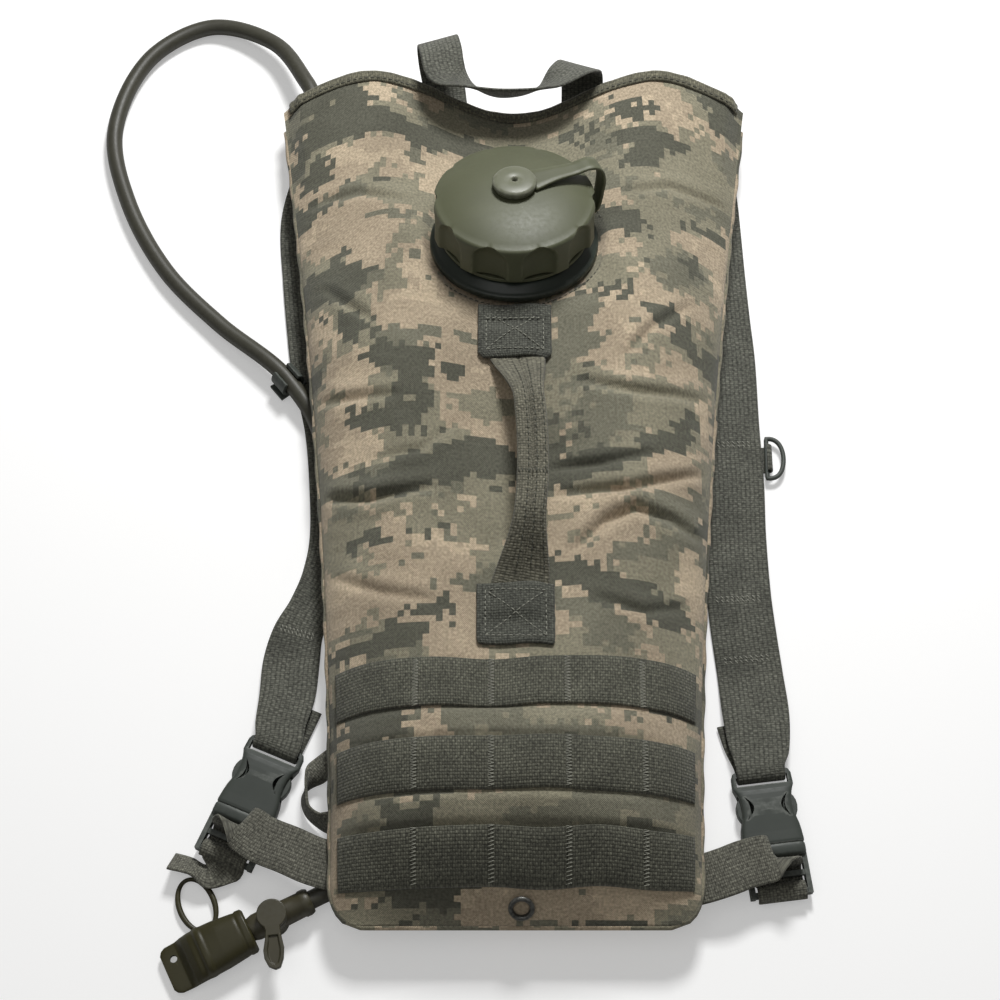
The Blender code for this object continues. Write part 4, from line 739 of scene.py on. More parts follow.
def moulded(name, colour, rough, worn, gloss=0.5):
    """Moulded plastic or rubber: faint mottling, dull scuffs, pale worn edges."""
    look, tree, shader = blank(name)
    spot = add(tree, "ShaderNodeTexCoord").outputs["Object"]
    cloud = add(tree, "ShaderNodeTexNoise", {"Vector": spot, "Scale": 55.0, "Detail": 5.0}).outputs["Fac"]
    scuff = add(tree, "ShaderNodeTexNoise", {"Vector": spot, "Scale": 420.0, "Detail": 3.0}).outputs["Fac"]
    low = (*[c * 0.93 for c in colour], 1)
    high = (*[c * 1.07 for c in colour], 1)
    hue = mixed(tree, spread(tree, cloud, 0.3, 0.7, 0, 1), low, high)
    edge = add(tree, "ShaderNodeNewGeometry").outputs["Pointiness"]
    rub = calc(
        tree, "MULTIPLY", spread(tree, edge, 0.515, 0.60, 0, 1), spread(tree, scuff, 0.35, 0.65, 0.2, 0.9)
    )
    hue = mixed(tree, rub, hue, (*worn, 1))
    tree.links.new(hue, shader.inputs["Base Color"])
    tree.links.new(spread(tree, scuff, 0.3, 0.7, rough - 0.03, rough + 0.04), shader.inputs["Roughness"])
    bump = add(tree, "ShaderNodeBump", {"Strength": 0.08, "Distance": 0.0002, "Height": scuff})
    tree.links.new(bump.outputs[0], shader.inputs["Normal"])
    shader.inputs["Specular IOR Level"].default_value = gloss
    return look


rubber = moulded("port_rubber", (0.022, 0.030, 0.022), 0.34, (0.09, 0.10, 0.08))
port = turned(
    "filler_flange",
    [
        (0.0325, -0.0190),
        (0.0400, -0.0190),
        (0.0400, -0.0045),
        (0.0466, -0.0040),
        (0.0474, -0.0032),
        (0.0474, -0.0006),
        (0.0468, 0.0002),
        (0.0456, 0.0003),
        (0.0444, 0.0012),
        (0.0420, 0.0036),
        (0.0400, 0.0046),
        (0.0368, 0.0050),
        (0.0365, 0.0054),
        (0.0365, 0.0150),
        (0.0381, 0.0162),
        (0.0381, 0.0172),
        (0.0365, 0.0184),
        (0.0365, 0.0220),
        (0.0360, 0.0225),
        (0.0328, 0.0225),
        (0.0325, 0.0220),
    ],
    160,
    PORT,
)
dressed(port, rubber, "pack", "cap_plastic", "filler_port")
ring = np.linspace(0, 2 * math.pi, 200)
spots = [PORT @ Vector((0.0520 * math.cos(a), 0.0520 * math.sin(a), 0.0)) for a in ring]
px, py = np.array([p.x for p in spots]), np.array([p.y for p in spots])
pu, ps = find(px, py)
pz = front(pu, ps) + relief(pu, ps) - 0.0052 * ease((0.0535 - 0.0520) / 0.0065)
tilt = PORT.to_3x3() @ Vector((0, 0, 1))
sewn(
    "port_stitches", run(np.stack([px, py, pz], axis=1), tilt, 0.0034, 0.0022), 0.0003, dark_thread, "pack",
    "webbing"
)

# Cap: a domed olive screw cap, its skirt cut into ten thumb scallops with arched tops.
# It is moulded of hard plastic, with a black sealing ring laid inside.
CAP = 0.0455
CAP_LOW = 0.0095
CAP_RIM = 0.0310
DOME = 0.0075
olive = moulded("cap_olive", (0.086, 0.092, 0.050), 0.50, (0.20, 0.21, 0.14), 0.45)


def scalloped(r, z, t):
    """Arched thumb hollows round the skirt."""
    turn = (t * 10 / (2 * math.pi) + 0.5) % 1.0 - 0.5
    rise = (z - CAP_LOW) / (CAP_RIM - CAP_LOW)
    reach = (turn / 0.345) ** 2 + (np.clip(rise - 0.56, 0, 2) / 0.44) ** 2
    cut = 0.0042 * np.clip(1 - reach, 0, 1) ** 0.5
    return r - np.where(r > 0.0405, cut, 0.0)


inner = 0.0397
roof = 0.0265
profile = [(0.0, roof), (inner - 0.001, roof), (inner, roof - 0.001), (inner, CAP_LOW + 0.0006)]
profile += [(inner + 0.0006, CAP_LOW), (CAP - 0.0006, CAP_LOW), (CAP, CAP_LOW + 0.0006)]
profile += [
    (CAP - 0.0006 * k / 18, CAP_LOW + 0.0006 + (CAP_RIM - CAP_LOW - 0.0030) * k / 18) for k in range(1, 19)
]
for k in range(1, 7):
    a = math.pi / 2 * k / 6
    profile.append((CAP - 0.0006 - 0.0022 * (1 - math.cos(a)), CAP_RIM - 0.0024 + 0.0024 * math.sin(a)))
edge_r = profile[-1][0]
for k in range(1, 17):
    r = edge_r * (1 - k / 16)
    profile.append((r, CAP_RIM + DOME * (1 - (r / edge_r) ** 2.6)))
cap = turned("screw_cap", profile, 300, PORT, scalloped)
dressed(cap, olive, "cap", "cap_plastic", "filler_cap")
seal = turned(
    "cap_gasket",
    [(0.0315, 0.0228), (0.0375, 0.0228), (0.0375, 0.0262), (0.0315, 0.0262)],
    96,
    PORT,
)
softened(seal, 0.0006)
dressed(
    seal, moulded("gasket_black", (0.016, 0.016, 0.016), 0.5, (0.05, 0.05, 0.05)), "cap", "seal_rubber",
    "cap_seal"
)

# Tether: a flexible strap from a loose ring round the neck, up over the cap's rim to an eye.
# It is moulded of olive plastic, and a button holds the eye to the cap's top.
EYE_LOW = CAP_RIM + DOME + 0.0003
EYE_HIGH = EYE_LOW + 0.0016
TETHER = PORT @ Matrix.Rotation(math.radians(22), 4, "Z")


def ribbon(name, path, sides, widths, thick):
    """Webbing or strap: a flat band with full, rounded edges along a path; sides point across it."""
    path = np.asarray(path, float)
    sides = np.asarray(sides, float)
    n = len(path)
    along = np.gradient(path, axis=0)
    along = along / np.linalg.norm(along, axis=1)[:, None]
    sides = sides - along * np.sum(sides * along, axis=1)[:, None]
    sides = sides / np.linalg.norm(sides, axis=1)[:, None]
    up = np.cross(along, sides)
    section = [
        (-0.5, 0.0), (-0.492, 0.62), (-0.465, 1.0), (-0.22, 0.95), (0.0, 0.93), (0.22, 0.95), (0.465, 1.0)
    ]
    section += [(0.492, 0.62), (0.5, 0.0), (0.492, -0.62), (0.465, -1.0), (0.22, -0.95), (0.0, -0.93)]
    section += [(-0.22, -0.95), (-0.465, -1.0), (-0.492, -0.62)]
    section = np.array(section)
    widths = np.broadcast_to(np.asarray(widths, float), (n,))
    thick = np.broadcast_to(np.asarray(thick, float), (n,))
    points = path[:, None] + (widths[:, None] * section[None, :, 0])[:, :, None] * sides[:, None]
    points = points + (thick[:, None] / 2 * section[None, :, 1])[:, :, None] * up[:, None]
    length = np.concatenate([[0], np.cumsum(np.linalg.norm(np.diff(path, axis=0), axis=1))])
    across = np.concatenate(
        [widths[:, None] * section[None, :, 0], widths[:, None] * section[None, :1, 0]], axis=1
    )
    metres = np.stack([across, np.repeat(length[:, None], len(section) + 1, axis=1)], axis=2)
    obj = net(name, points, metres, wrap=True, caps=True)
    return welded(obj)


def evened(points, count):
    """Even points on a smooth curve through given ones, with the length to each given one."""
    points = np.asarray(points, float)
    spans = np.concatenate([[0], np.cumsum(np.linalg.norm(np.diff(points, axis=0), axis=1))])
    return through(spans, points, np.linspace(0, spans[-1], count)), spans


def carried(matrix, points):
    m = np.array(matrix)
    return np.asarray(points, float) @ m[:3, :3].T + m[:3, 3]


def swung(matrix, points):
    return np.asarray(points, float) @ np.array(matrix)[:3, :3].T


strap_route = [
    (0.0097, 0, EYE_LOW + 0.0008),
    (0.0237, 0, EYE_LOW + 0.0013),
    (0.0355, 0, CAP_RIM + 0.0088),
    (0.0441, 0, CAP_RIM + 0.0098),
    (0.0497, 0, CAP_RIM + 0.0072),
    (0.0521, 0, CAP_RIM),
    (0.0517, 0, CAP_RIM - 0.0090),
    (0.0491, 0, CAP_LOW - 0.0003),
    (0.0445, 0, 0.0067),
    (0.0407, 0, 0.0067),
]
path, spans = evened(strap_route, 60)
wide = [0.0170, 0.0118, 0.0100, 0.0104, 0.0112, 0.0110, 0.0098, 0.0090, 0.0085, 0.0085]
wide = through(spans, wide, np.linspace(0, spans[-1], 60))
tether = ribbon("tether_strap", carried(TETHER, path), swung(TETHER, [(0, 1, 0)] * 60), wide, 0.0017)
dressed(tether, olive, "cap_lift", "cap_plastic", "cap_tether")
eye = turned(
    "tether_eye",
    [
        (0.0055, EYE_LOW), (0.0112, EYE_LOW), (0.0116, EYE_LOW + 0.0008), (0.0112, EYE_HIGH),
        (0.0055, EYE_HIGH)
    ],
    72,
    PORT,
)
dressed(eye, olive, "cap_lift", "cap_plastic")
collar = turned(
    "tether_ring", [(0.0386, 0.0056), (0.0417, 0.0056), (0.0417, 0.0078), (0.0386, 0.0078)], 96, PORT
)
softened(collar, 0.0004)
dressed(collar, olive, "cap_lift", "cap_plastic")
button = turned(
    "tether_rivet",
    [
        (0.0016, EYE_HIGH - 0.0013),
        (0.0052, EYE_HIGH - 0.0013),
        (0.0052, EYE_HIGH + 0.0003),
        (0.0118, EYE_HIGH + 0.0003),
        (0.0122, EYE_HIGH + 0.0008),
        (0.0122, EYE_HIGH + 0.0019),
        (0.0116, EYE_HIGH + 0.0028),
        (0.0104, EYE_HIGH + 0.0033),
        (0.0060, EYE_HIGH + 0.0035),
        (0.0024, EYE_HIGH + 0.0036),
        (0.0016, EYE_HIGH + 0.0031),
    ],
    96,
    PORT,
)
dressed(
    button, moulded("button_olive", (0.125, 0.132, 0.085), 0.42, (0.33, 0.33, 0.27)), "cap_lift",
    "cap_plastic", "tether_button"
)

# Webbing rows: three bands of woven webbing across the lower front.
# Each is barred down with thread at an even pitch, so that pouches can be woven in behind.
BARS = [-0.0505, -0.0124, 0.0257, 0.0638]
web = woven("row_webbing", (0.124, 0.124, 0.094), (0.039, 0.039, 0.029), (0.0016, 0.0013))
bar_thread = spun("bar_thread", (0.20, 0.20, 0.165), (0.36, 0.36, 0.30))
bar_stitches = []
for k, (name, low) in enumerate(zip(("row_lower", "row_middle", "row_upper"), ROW_LOW)):
    u = np.linspace(-0.957, 0.957, 220)
    shares = np.array([0.0, 0.012, 0.04, 0.25, 0.5, 0.75, 0.96, 0.988, 1.0])
    rise = np.array([0.25, 0.75, 1.0, 0.98, 0.96, 0.98, 1.0, 0.75, 0.25])
    sag = 0.0012 * ripple(u * 0.1, 0 * u + 0.05 * k, 0.030)
    mid_s = (low + ROW_WIDTH / 2) / SPAN
    x_mid = u * half_width(mid_s)
    loose = np.min([np.abs(x_mid - b) for b in BARS + [-0.088, 0.098]], axis=0)
    belly = 0.0011 * ease(loose / 0.015) * (0.7 + 0.5 * ripple(x_mid, 0 * x_mid + 0.1 * k, 0.02))
    lines = []
    for share, up in zip(shares, rise):
        s = (low + sag + ROW_WIDTH * share) / SPAN
        x, y = plan(u, s)
        lift = 0.0003 + 0.0016 * up + belly * math.sin(math.pi * share) ** 0.5
        lines.append(np.stack([x, y, front(u, s) + lift], axis=1))
    points = np.stack(lines, axis=1)
    along = np.concatenate([[0], np.cumsum(np.linalg.norm(np.diff(points[:, 4], axis=0), axis=1))])
    metres = np.stack(np.meshgrid(ROW_WIDTH * shares, along), axis=2)
    band = thickened(net(name + "_webbing", points[:, ::-1], metres[:, ::-1]), 0.0013)
    dressed(band, web, "pack", "webbing", name)
    for bar in BARS:
        i = int(np.argmin(np.abs(points[:, 4, 0] - bar)))
        tops = 15
        for step in range(tops):
            share = 0.05 + 0.90 * step / (tops - 1)
            ends = []
            for dx, ds in ((-0.0016, 0.0), (0.0016, 0.03)):
                s = (low + sag[i] + ROW_WIDTH * min(share + ds, 0.98)) / SPAN
                xx = bar + dx
                uu = xx / half_width(s)
                ends.append((xx, HEM_Y + s * SPAN, float(front(uu, s)) + 0.00195))
            a, b = ends
            bar_stitches.append((a, b, (0, 0.0, 1)))
            bar_stitches.append((b, (a[0], a[1] + 0.0013, a[2]), (0, 0.0, 1)))
sewn("row_bars", bar_stitches, 0.00022, bar_thread, "pack", "webbing")

# Carry handle: two square tabs box-sewn to the front, and a strip of webbing between them.
# The strip is folded lengthwise to a seam, and its ends are tucked under the tabs.
tab_web = woven("tab_webbing", (0.092, 0.095, 0.077), (0.040, 0.041, 0.033), (0.0014, 0.0014))
TAB = 0.040
TAB_LONG = 0.034
box_stitches = []


def on_front(x, y, lift):
    u, s = find(x, y)
    return np.stack([x, y, front(u, s) + lift], axis=-1)


TUCK_RISE = 0.0030
TUCK_HALF = 0.0160


def swell_over(x, y, mid, end):
    """How far a tab stands up over the handle's end; end is the side where the handle comes out."""
    return TUCK_RISE * np.exp(-((x / TUCK_HALF) ** 4)) * ease((end * (y - mid) + 0.006) / 0.009)


def stitched(corners, lift, mid, end):
    """Rows of stitches over a tab from corner to corner."""
    out = []
    for (ax, ay), (bx, by) in zip(corners, corners[1:]):
        t = np.linspace(0, 1, 30)
        x, y = ax + (bx - ax) * t, ay + (by - ay) * t
        out += run(on_front(x, y, lift + swell_over(x, y, mid, end)), (0, 0, 1), 0.0030, 0.0021)
    return out


for name, mid, end, chamfer in (
    ("handle_tab_upper", 0.062, -1, 0.003), ("handle_tab_lower", -0.103, 1, 0.0015)
):
    across = np.concatenate([[-0.5, -0.492, -0.47], np.linspace(-0.4, 0.4, 17), [0.47, 0.492, 0.5]])
    down = np.concatenate([[-0.5, -0.492, -0.47], np.linspace(-0.4, 0.4, 17), [0.47, 0.492, 0.5]])
    A, B = np.meshgrid(across, down)
    gather = np.clip(chamfer - (B + 0.5) * TAB_LONG, 0, chamfer)
    X = A * (TAB - 2 * gather)
    Y = mid + B * TAB_LONG + 0.0006 * np.sin(A * 7)
    rim = np.minimum(0.5 - np.abs(A), 0.5 - np.abs(B)) / 0.03
    hem_band = 0.0007 * ease((B - 0.20) / 0.03) if name.endswith("upper") else 0.0
    full = np.clip(rim, 0, 1)
    lift = 0.0012 + 0.0014 * (0.25 + 0.75 * full**0.6) + hem_band + 0.0004 * ripple(X, Y, 0.012) * full
    points = on_front(X, Y, lift + swell_over(X, Y, mid, end))
    metres = np.stack([A * TAB, B * TAB_LONG], axis=2)
    tab = thickened(net(name + "_web", points, metres), 0.0014)
    dressed(tab, tab_web, "pack", "webbing", name)
    w, h = TAB / 2 - 0.0045, TAB_LONG / 2 - 0.0045
    box = [(-w, mid - h), (w, mid - h), (w, mid + h), (-w, mid + h), (-w, mid - h), (w, mid + h)]
    box_stitches += stitched(box, 0.0028, mid, end) + stitched(
        [(w, mid - h), (-w, mid + h)], 0.0028, mid, end
    )
    if name.endswith("upper"):
        box_stitches += stitched([(-w, mid + 0.0075), (w, mid + 0.0075)], 0.0034, mid, end)
sewn("tab_stitches", box_stitches, 0.00028, bar_thread, "pack", "webbing")

HANDLE_TOP = 0.051
HANDLE_FOOT = -0.092
HANDLE_RISE = 0.021
steps = 90
t = np.linspace(0, 1, steps)
y = HANDLE_TOP + (HANDLE_FOOT - HANDLE_TOP) * t
sway = 0.0085 * np.sin(math.pi * t) ** 0.8 + 0.001 * t
grip = ease(t / 0.28) * ease((1 - t) / 0.28)
thick = 0.0020 + 0.0025 * grip
hu, hs = find(sway, y)
seat = front(hu, hs) + 0.0004 + thick / 2
arch = HANDLE_RISE * ease(t / 0.3) * ease((1 - t) / 0.3)
spine = np.stack([sway, y, seat + arch], axis=1)
width = 0.031 + (0.0165 - 0.031) * grip
fold = [
    (-0.5, 0.1), (-0.47, 0.75), (-0.36, 1.0), (-0.20, 0.96), (-0.06, 0.80), (-0.015, 0.25), (0.015, 0.25),
    (0.06, 0.80)
]
fold += [
    (0.20, 0.96), (0.36, 1.0), (0.47, 0.75), (0.5, 0.1), (0.47, -0.75), (0.36, -1.0), (0.0, -0.95),
    (-0.36, -1.0), (-0.47, -0.75)
]
fold = np.array(fold)
along = np.gradient(spine, axis=0)
along = along / np.linalg.norm(along, axis=1)[:, None]
side = np.tile([1.0, 0, 0], (steps, 1))
up = np.cross(side, along)
up = up * np.sign(up[:, 2:])
side = np.cross(along, up)
side = side * np.sign(side[:, :1])
points = spine[:, None] + (width[:, None] * fold[None, :, 0])[:, :, None] * side[:, None]
points = points + (thick[:, None] / 2 * fold[None, :, 1])[:, :, None] * up[:, None]
length = np.concatenate([[0], np.cumsum(np.linalg.norm(np.diff(spine, axis=0), axis=1))])
girth = np.concatenate(
    [[0], np.cumsum(np.linalg.norm(np.diff(fold * [0.017, 0.0022], axis=0), axis=1)), [0.042]]
)
metres = np.stack(np.meshgrid(girth, length), axis=2)
handle = welded(net("carry_handle_web", points, metres, wrap=True, caps=True))
handle_web = woven("handle_webbing", (0.170, 0.162, 0.120), (0.080, 0.076, 0.056), (0.0015, 0.0015))
dressed(handle, handle_web, "pack", "webbing", "carry_handle")
seam_runs = []
for offset in (-0.13, 0.13, 0.40):
    line = spine + (width * offset)[:, None] * side + (thick / 2 * 0.97)[:, None] * up
    seam_runs += run(line[8:-8], up[8:-8], 0.0036, 0.0024)
i = 52
for k in range(9):
    a = spine[i] + side[i] * (-0.0075 + 0.0018 * k) + up[i] * (thick[i] / 2) + along[i] * -0.0013
    b = spine[i] + side[i] * (-0.0068 + 0.0018 * k) + up[i] * (thick[i] / 2) + along[i] * 0.0013
    seam_runs.append((a, b, up[i]))
sewn("handle_stitches", seam_runs, 0.00030, dark_thread, "pack", "webbing")

# Drain grommet: a blackened brass eyelet through the cloth at the hem, worn to grey on its rim.
# It is rolled over a washer behind the cloth.
gx, gy = 0.0025, -0.2475
gs = (gy - HEM_Y) / SPAN
slope = math.atan2(float(front(0.0, gs + 0.012) - front(0.0, gs)), 0.012 * SPAN)
gu, gv = find(np.array(gx), np.array(gy))
EYELET = Matrix.Translation((gx, gy, float(front(gu, gv)) + 0.0004)) @ Matrix.Rotation(slope, 4, "X")
look, tree, shader = blank("blackened_brass")
spot = add(tree, "ShaderNodeTexCoord").outputs["Object"]
scratch = add(tree, "ShaderNodeTexNoise", {"Vector": spot, "Scale": 900.0, "Detail": 4.0}).outputs["Fac"]
edge = add(tree, "ShaderNodeNewGeometry").outputs["Pointiness"]
rub = calc(tree, "MULTIPLY", spread(tree, edge, 0.50, 0.58, 0, 1), spread(tree, scratch, 0.35, 0.6, 0.3, 1))
tree.links.new(mixed(tree, rub, (0.020, 0.021, 0.019, 1), (0.30, 0.30, 0.28, 1)), shader.inputs["Base Color"])
tree.links.new(spread(tree, scratch, 0.3, 0.7, 0.3, 0.55), shader.inputs["Roughness"])
shader.inputs["Metallic"].default_value = 0.75
brass = look
t = np.linspace(0, math.pi, 9)
crest = [(0.0053 - 0.0013 * math.cos(a), 0.0010 + 0.0014 * math.sin(a)) for a in t]
eyelet = turned(
    "drain_eyelet", [(0.0040, -0.0048), (0.0051, -0.0048), (0.0051, 0.0008)] + crest[::-1], 64, EYELET
)
dressed(eyelet, brass, "pack", "eyelet_metal", "grommet")
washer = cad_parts["grommet_washer"]
washer.data.materials.clear()
washer.data.materials.append(brass)

# Hang loop: a length of 25 mm webbing, curling forward over the top edge.
# Both its ends are sewn behind the neckline.
NECK = HEM_Y + SPAN
strap_web = woven("strap_webbing", (0.128, 0.130, 0.106), (0.048, 0.049, 0.040), (0.0024, 0.0013), 0.0005)
loop_route = [
    (-0.0360, NECK - 0.0340, 0.0006),
    (-0.0370, NECK - 0.0180, 0.0020),
    (-0.0410, NECK + 0.0260, 0.0100),
    (-0.0445, NECK + 0.0430, 0.0190),
    (-0.0453, NECK + 0.0470, 0.0340),
    (-0.0430, NECK + 0.0340, 0.0440),
    (-0.0390, NECK + 0.0165, 0.0440),
    (-0.0256, NECK + 0.0062, 0.0446),
    (-0.0062, NECK + 0.0014, 0.0446),
    (0.0183, NECK + 0.0058, 0.0446),
    (0.0320, NECK + 0.0185, 0.0438),
    (0.0390, NECK + 0.0290, 0.0340),
    (0.0410, NECK + 0.0340, 0.0200),
    (0.0415, NECK + 0.0260, 0.0100),
    (0.0400, NECK - 0.0180, 0.0020),
    (0.0380, NECK - 0.0340, 0.0006),
]
loop_sides = [(1, 0, 0), (1, 0, 0), (1, 0, 0), (1, 0.15, 0), (0.96, 0.28, 0.05), (0.95, 0.30, -0.05)]
loop_sides += [(0.90, 0.36, -0.20), (0.50, 0.42, -0.75), (0, 0.45, -0.90), (-0.50, 0.45, -0.74)]
loop_sides += [(-0.85, 0.40, -0.30), (-0.95, 0.31, 0), (-1, 0.15, 0), (-1, 0, 0), (-1, 0, 0), (-1, 0, 0)]
path, spans = evened(loop_route, 150)
turns = through(spans, loop_sides, np.linspace(0, spans[-1], 150))
hang = ribbon("hang_loop_web", path, turns, 0.025, 0.0016)
dressed(hang, strap_web, "pack", "webbing", "hang_loop")

# Buckles: side-release buckles of moulded grey plastic, one on each side.
# The socket hangs on the shoulder strap; the plug's two spring prongs show in its waist.
black = moulded("buckle_grey", (0.050, 0.058, 0.050), 0.52, (0.13, 0.14, 0.125), 0.4)
WEB_HALF = 0.0133
SOCKET = 0.040
PLUG_END = SOCKET + 0.026


def buckle_frame(x, y, turn):
    return Matrix.Translation((x, y, 0.0004)) @ Matrix.Rotation(math.radians(turn), 4, "Z")


BUCKLES = {"left": buckle_frame(-0.1228, -0.1565, 247), "right": buckle_frame(0.1260, -0.1705, 277)}


def lofted(name, stations, matrix, power=0.32, around=40):
    """A body of rounded box sections; each station is (x, half width, low, high)."""
    rows = []
    for x, w, low, high in stations:
        t = np.linspace(0, 2 * math.pi, around, endpoint=False)
        c, s = np.cos(t), np.sin(t)
        y = w * np.sign(c) * np.abs(c) ** power
        z = (low + high) / 2 + (high - low) / 2 * np.sign(s) * np.abs(s) ** power
        rows.append(np.stack([x + 0 * y, y, z], axis=1))
    return welded(net(name, carried(matrix, np.array(rows)), wrap=True, caps=True))


def brick(name, x0, x1, y0, y1, z0, z1, matrix):
    corners = [(x, y, z) for z in (z0, z1) for x, y in ((x0, y0), (x1, y0), (x1, y1), (x0, y1))]
    faces = [(3, 2, 1, 0), (4, 5, 6, 7), (0, 1, 5, 4), (1, 2, 6, 5), (2, 3, 7, 6), (3, 0, 4, 7)]
    mesh = bpy.data.meshes.new(name)
    mesh.from_pydata(carried(matrix, corners).tolist(), [], faces)
    return welded(show(name, mesh))


def cut(obj, tools, operation="DIFFERENCE"):
    """Cut tools out of a part, or weld them to it, and drop them."""
    for tool in tools:
        made = obj.modifiers.new("cut", "BOOLEAN")
        made.operation = operation
        made.solver = "EXACT"
        made.object = tool
        bpy.context.view_layer.update()
        mesh = bpy.data.meshes.new_from_object(obj.evaluated_get(bpy.context.evaluated_depsgraph_get()))
        obj.modifiers.clear()
        obj.data = mesh
        bpy.data.objects.remove(tool, do_unlink=True)
    return obj


def outlined(name, outline, z0, z1, matrix):
    """Raise a flat outline from z0 to z1."""
    n = len(outline)
    verts = [(x, y, z0) for x, y in outline] + [(x, y, z1) for x, y in outline]
    faces = [tuple(range(n - 1, -1, -1)), tuple(range(n, 2 * n))]
    faces += [(k, (k + 1) % n, n + (k + 1) % n, n + k) for k in range(n)]
    mesh = bpy.data.meshes.new(name)
    mesh.from_pydata(carried(matrix, verts).tolist(), [], faces)
    mesh.polygons.foreach_set("use_smooth", [True] * len(faces))
    return welded(show(name, mesh))


for hand, m in BUCKLES.items():
    body = [(0.0, 0.0132, 0.0040, 0.0066), (0.0008, 0.0146, 0.0036, 0.0070), (0.0030, 0.0156, 0.0034, 0.0072)]
    body += [
        (0.0075, 0.0158, 0.0034, 0.0073), (0.0092, 0.0157, 0.0016, 0.0086), (0.0112, 0.0148, 0.0003, 0.0097)
    ]
    body += [(0.0135, 0.0140, 0.0, 0.0101), (0.0165, 0.0134, 0.0, 0.0103), (0.0205, 0.0132, 0.0, 0.0104)]
    body += [(0.0245, 0.0135, 0.0, 0.0103), (0.0275, 0.0142, 0.0, 0.0102), (0.0300, 0.0149, 0.0, 0.0101)]
    body += [(0.0335, 0.0154, 0.0, 0.0100), (0.0385, 0.0158, 0.0, 0.0100), (0.0395, 0.0157, 0.0002, 0.0098)]
    body += [(SOCKET, 0.0153, 0.0006, 0.0094)]
    body = np.array(body)
    xs = np.unique(np.concatenate([body[:, 0], np.linspace(0, SOCKET, 60)]))
    smooth = np.stack([np.interp(xs, body[:, 0], body[:, c]) for c in range(4)], axis=1)
    shell = lofted("socket_shell_" + hand, smooth, m)
    slot_hole = brick("cutter", 0.0032, 0.0082, -WEB_HALF, WEB_HALF, -0.01, 0.02, m)
    cavity = brick("cutter", 0.0110, 0.05, -0.0122, 0.0122, 0.0019, 0.0081, m)
    windows = []
    for y in (-1, 1):
        low, high = sorted((y * 0.0110, y * 0.0200))
        windows.append(brick("cutter", 0.0128, 0.0282, low, high, 0.0019, 0.0081, m))
    crescents = []
    for y in (-1, 1):
        arc = [
            (0.0140 + 0.0125 * k / 12, y * (0.0112 - 0.0022 * math.sin(math.pi * k / 12)))
            for k in range(13)
        ]
        back_arc = [
            (0.0140 + 0.0125 * k / 12, y * (0.0112 - 0.0042 * math.sin(math.pi * k / 12)))
            for k in range(11, 0, -1)
        ]
        ring_out = arc + back_arc if y > 0 else (arc + back_arc)[::-1]
        crescents.append(outlined("cutter", ring_out, 0.0060, 0.0140, m))
    cut(shell, [slot_hole, cavity] + windows + crescents)
    for face in shell.data.polygons:
        face.use_smooth = True
    softened(shell, 0.0005, 2, 40)
    dressed(shell, black, "buckle_socket_" + hand, "buckle_plastic", "socket_" + hand)
    xs = SOCKET + 0.0003 + np.array([0.0, 0.0006, 0.0015, 0.0045, 0.0055, 0.0062])
    block = lofted(
        "plug_body_" + hand,
        [
            (x, w, lo, hi)
            for x, w, lo, hi in zip(
                xs, [0.0153, 0.0157, 0.0158, 0.0158, 0.0155, 0.0150],
                [0.0004, 0.0001, 0, 0, 0.0003, 0.0008], [0.0096, 0.0099, 0.01, 0.01, 0.0094, 0.0086]
            )
        ],
        m,
    )
    bars = []
    for y in (-1, 1):
        low, high = sorted((y * 0.0158, y * WEB_HALF))
        bars.append(brick("cutter", SOCKET + 0.005, PLUG_END, low, high, 0.0012, 0.0068, m))
    bars.append(brick("cutter", SOCKET + 0.0138, SOCKET + 0.0166, -0.0143, 0.0143, 0.0034, 0.0062, m))
    bars.append(brick("cutter", PLUG_END - 0.0030, PLUG_END, -0.0143, 0.0143, 0.0034, 0.0062, m))
    bars.append(brick("cutter", 0.0190, SOCKET + 0.002, -0.0028, 0.0028, 0.0030, 0.0070, m))
    cut(block, bars, "UNION")
    softened(block, 0.0006, 2, 40)
    dressed(block, black, "pack", "buckle_plastic", "plug_" + hand)
    for place, sign in (("outer", -1 if hand == "left" else 1), ("inner", 1 if hand == "left" else -1)):
        root = m @ Matrix.Translation((SOCKET - 0.0016, sign * 0.0098, 0))
        outer = [
            (0.0016, 0.0016), (-0.0105, 0.0020), (-0.0117, 0.0028), (-0.0123, 0.0044), (-0.0150, 0.0056),
            (-0.0180, 0.0060)
        ]
        outer += [
            (-0.0205, 0.0057), (-0.0228, 0.0048), (-0.0243, 0.0034), (-0.0248, 0.0012), (-0.0238, -0.0014),
            (-0.0200, -0.0016)
        ]
        outer += [(0.0016, -0.0016)]
        prong = outlined(
            "prong_" + place + "_grip_" + hand, [(x, sign * y) for x, y in outer], 0.0026, 0.0074, root
        )
        softened(prong, 0.0007, 3, 40)
        dressed(prong, black, "spring_" + place + "_" + hand, "buckle_plastic", "prong_" + place + "_" + hand)

# Shoulder straps: 35 mm ribbed webbing sewn under the back's top corners, narrowed over the socket's bar and
# folded back under itself; the left one is pinched where it has been pulled sideways.
def beside(hand, out, up):
    """A place beside the carrier: out in shoulder widths from its edge, up in shares of its length."""
    edge = 0.092 + 0.044 * min(max(up, 0.0), 1.0) ** 1.65
    return hand * (edge + out * 0.272), HEM_Y + up * SPAN


def under_back(x, y, side, width):
    """Seat for the middle of a band sewn under the back cloth."""
    side = np.asarray(side, float) / np.linalg.norm(side)
    k = np.linspace(-0.5, 0.5, 9) * width
    u, s = find(x + k * side[0], y + k * side[1])
    return float(np.min(back(u, s) - k * side[2])) - 0.0014


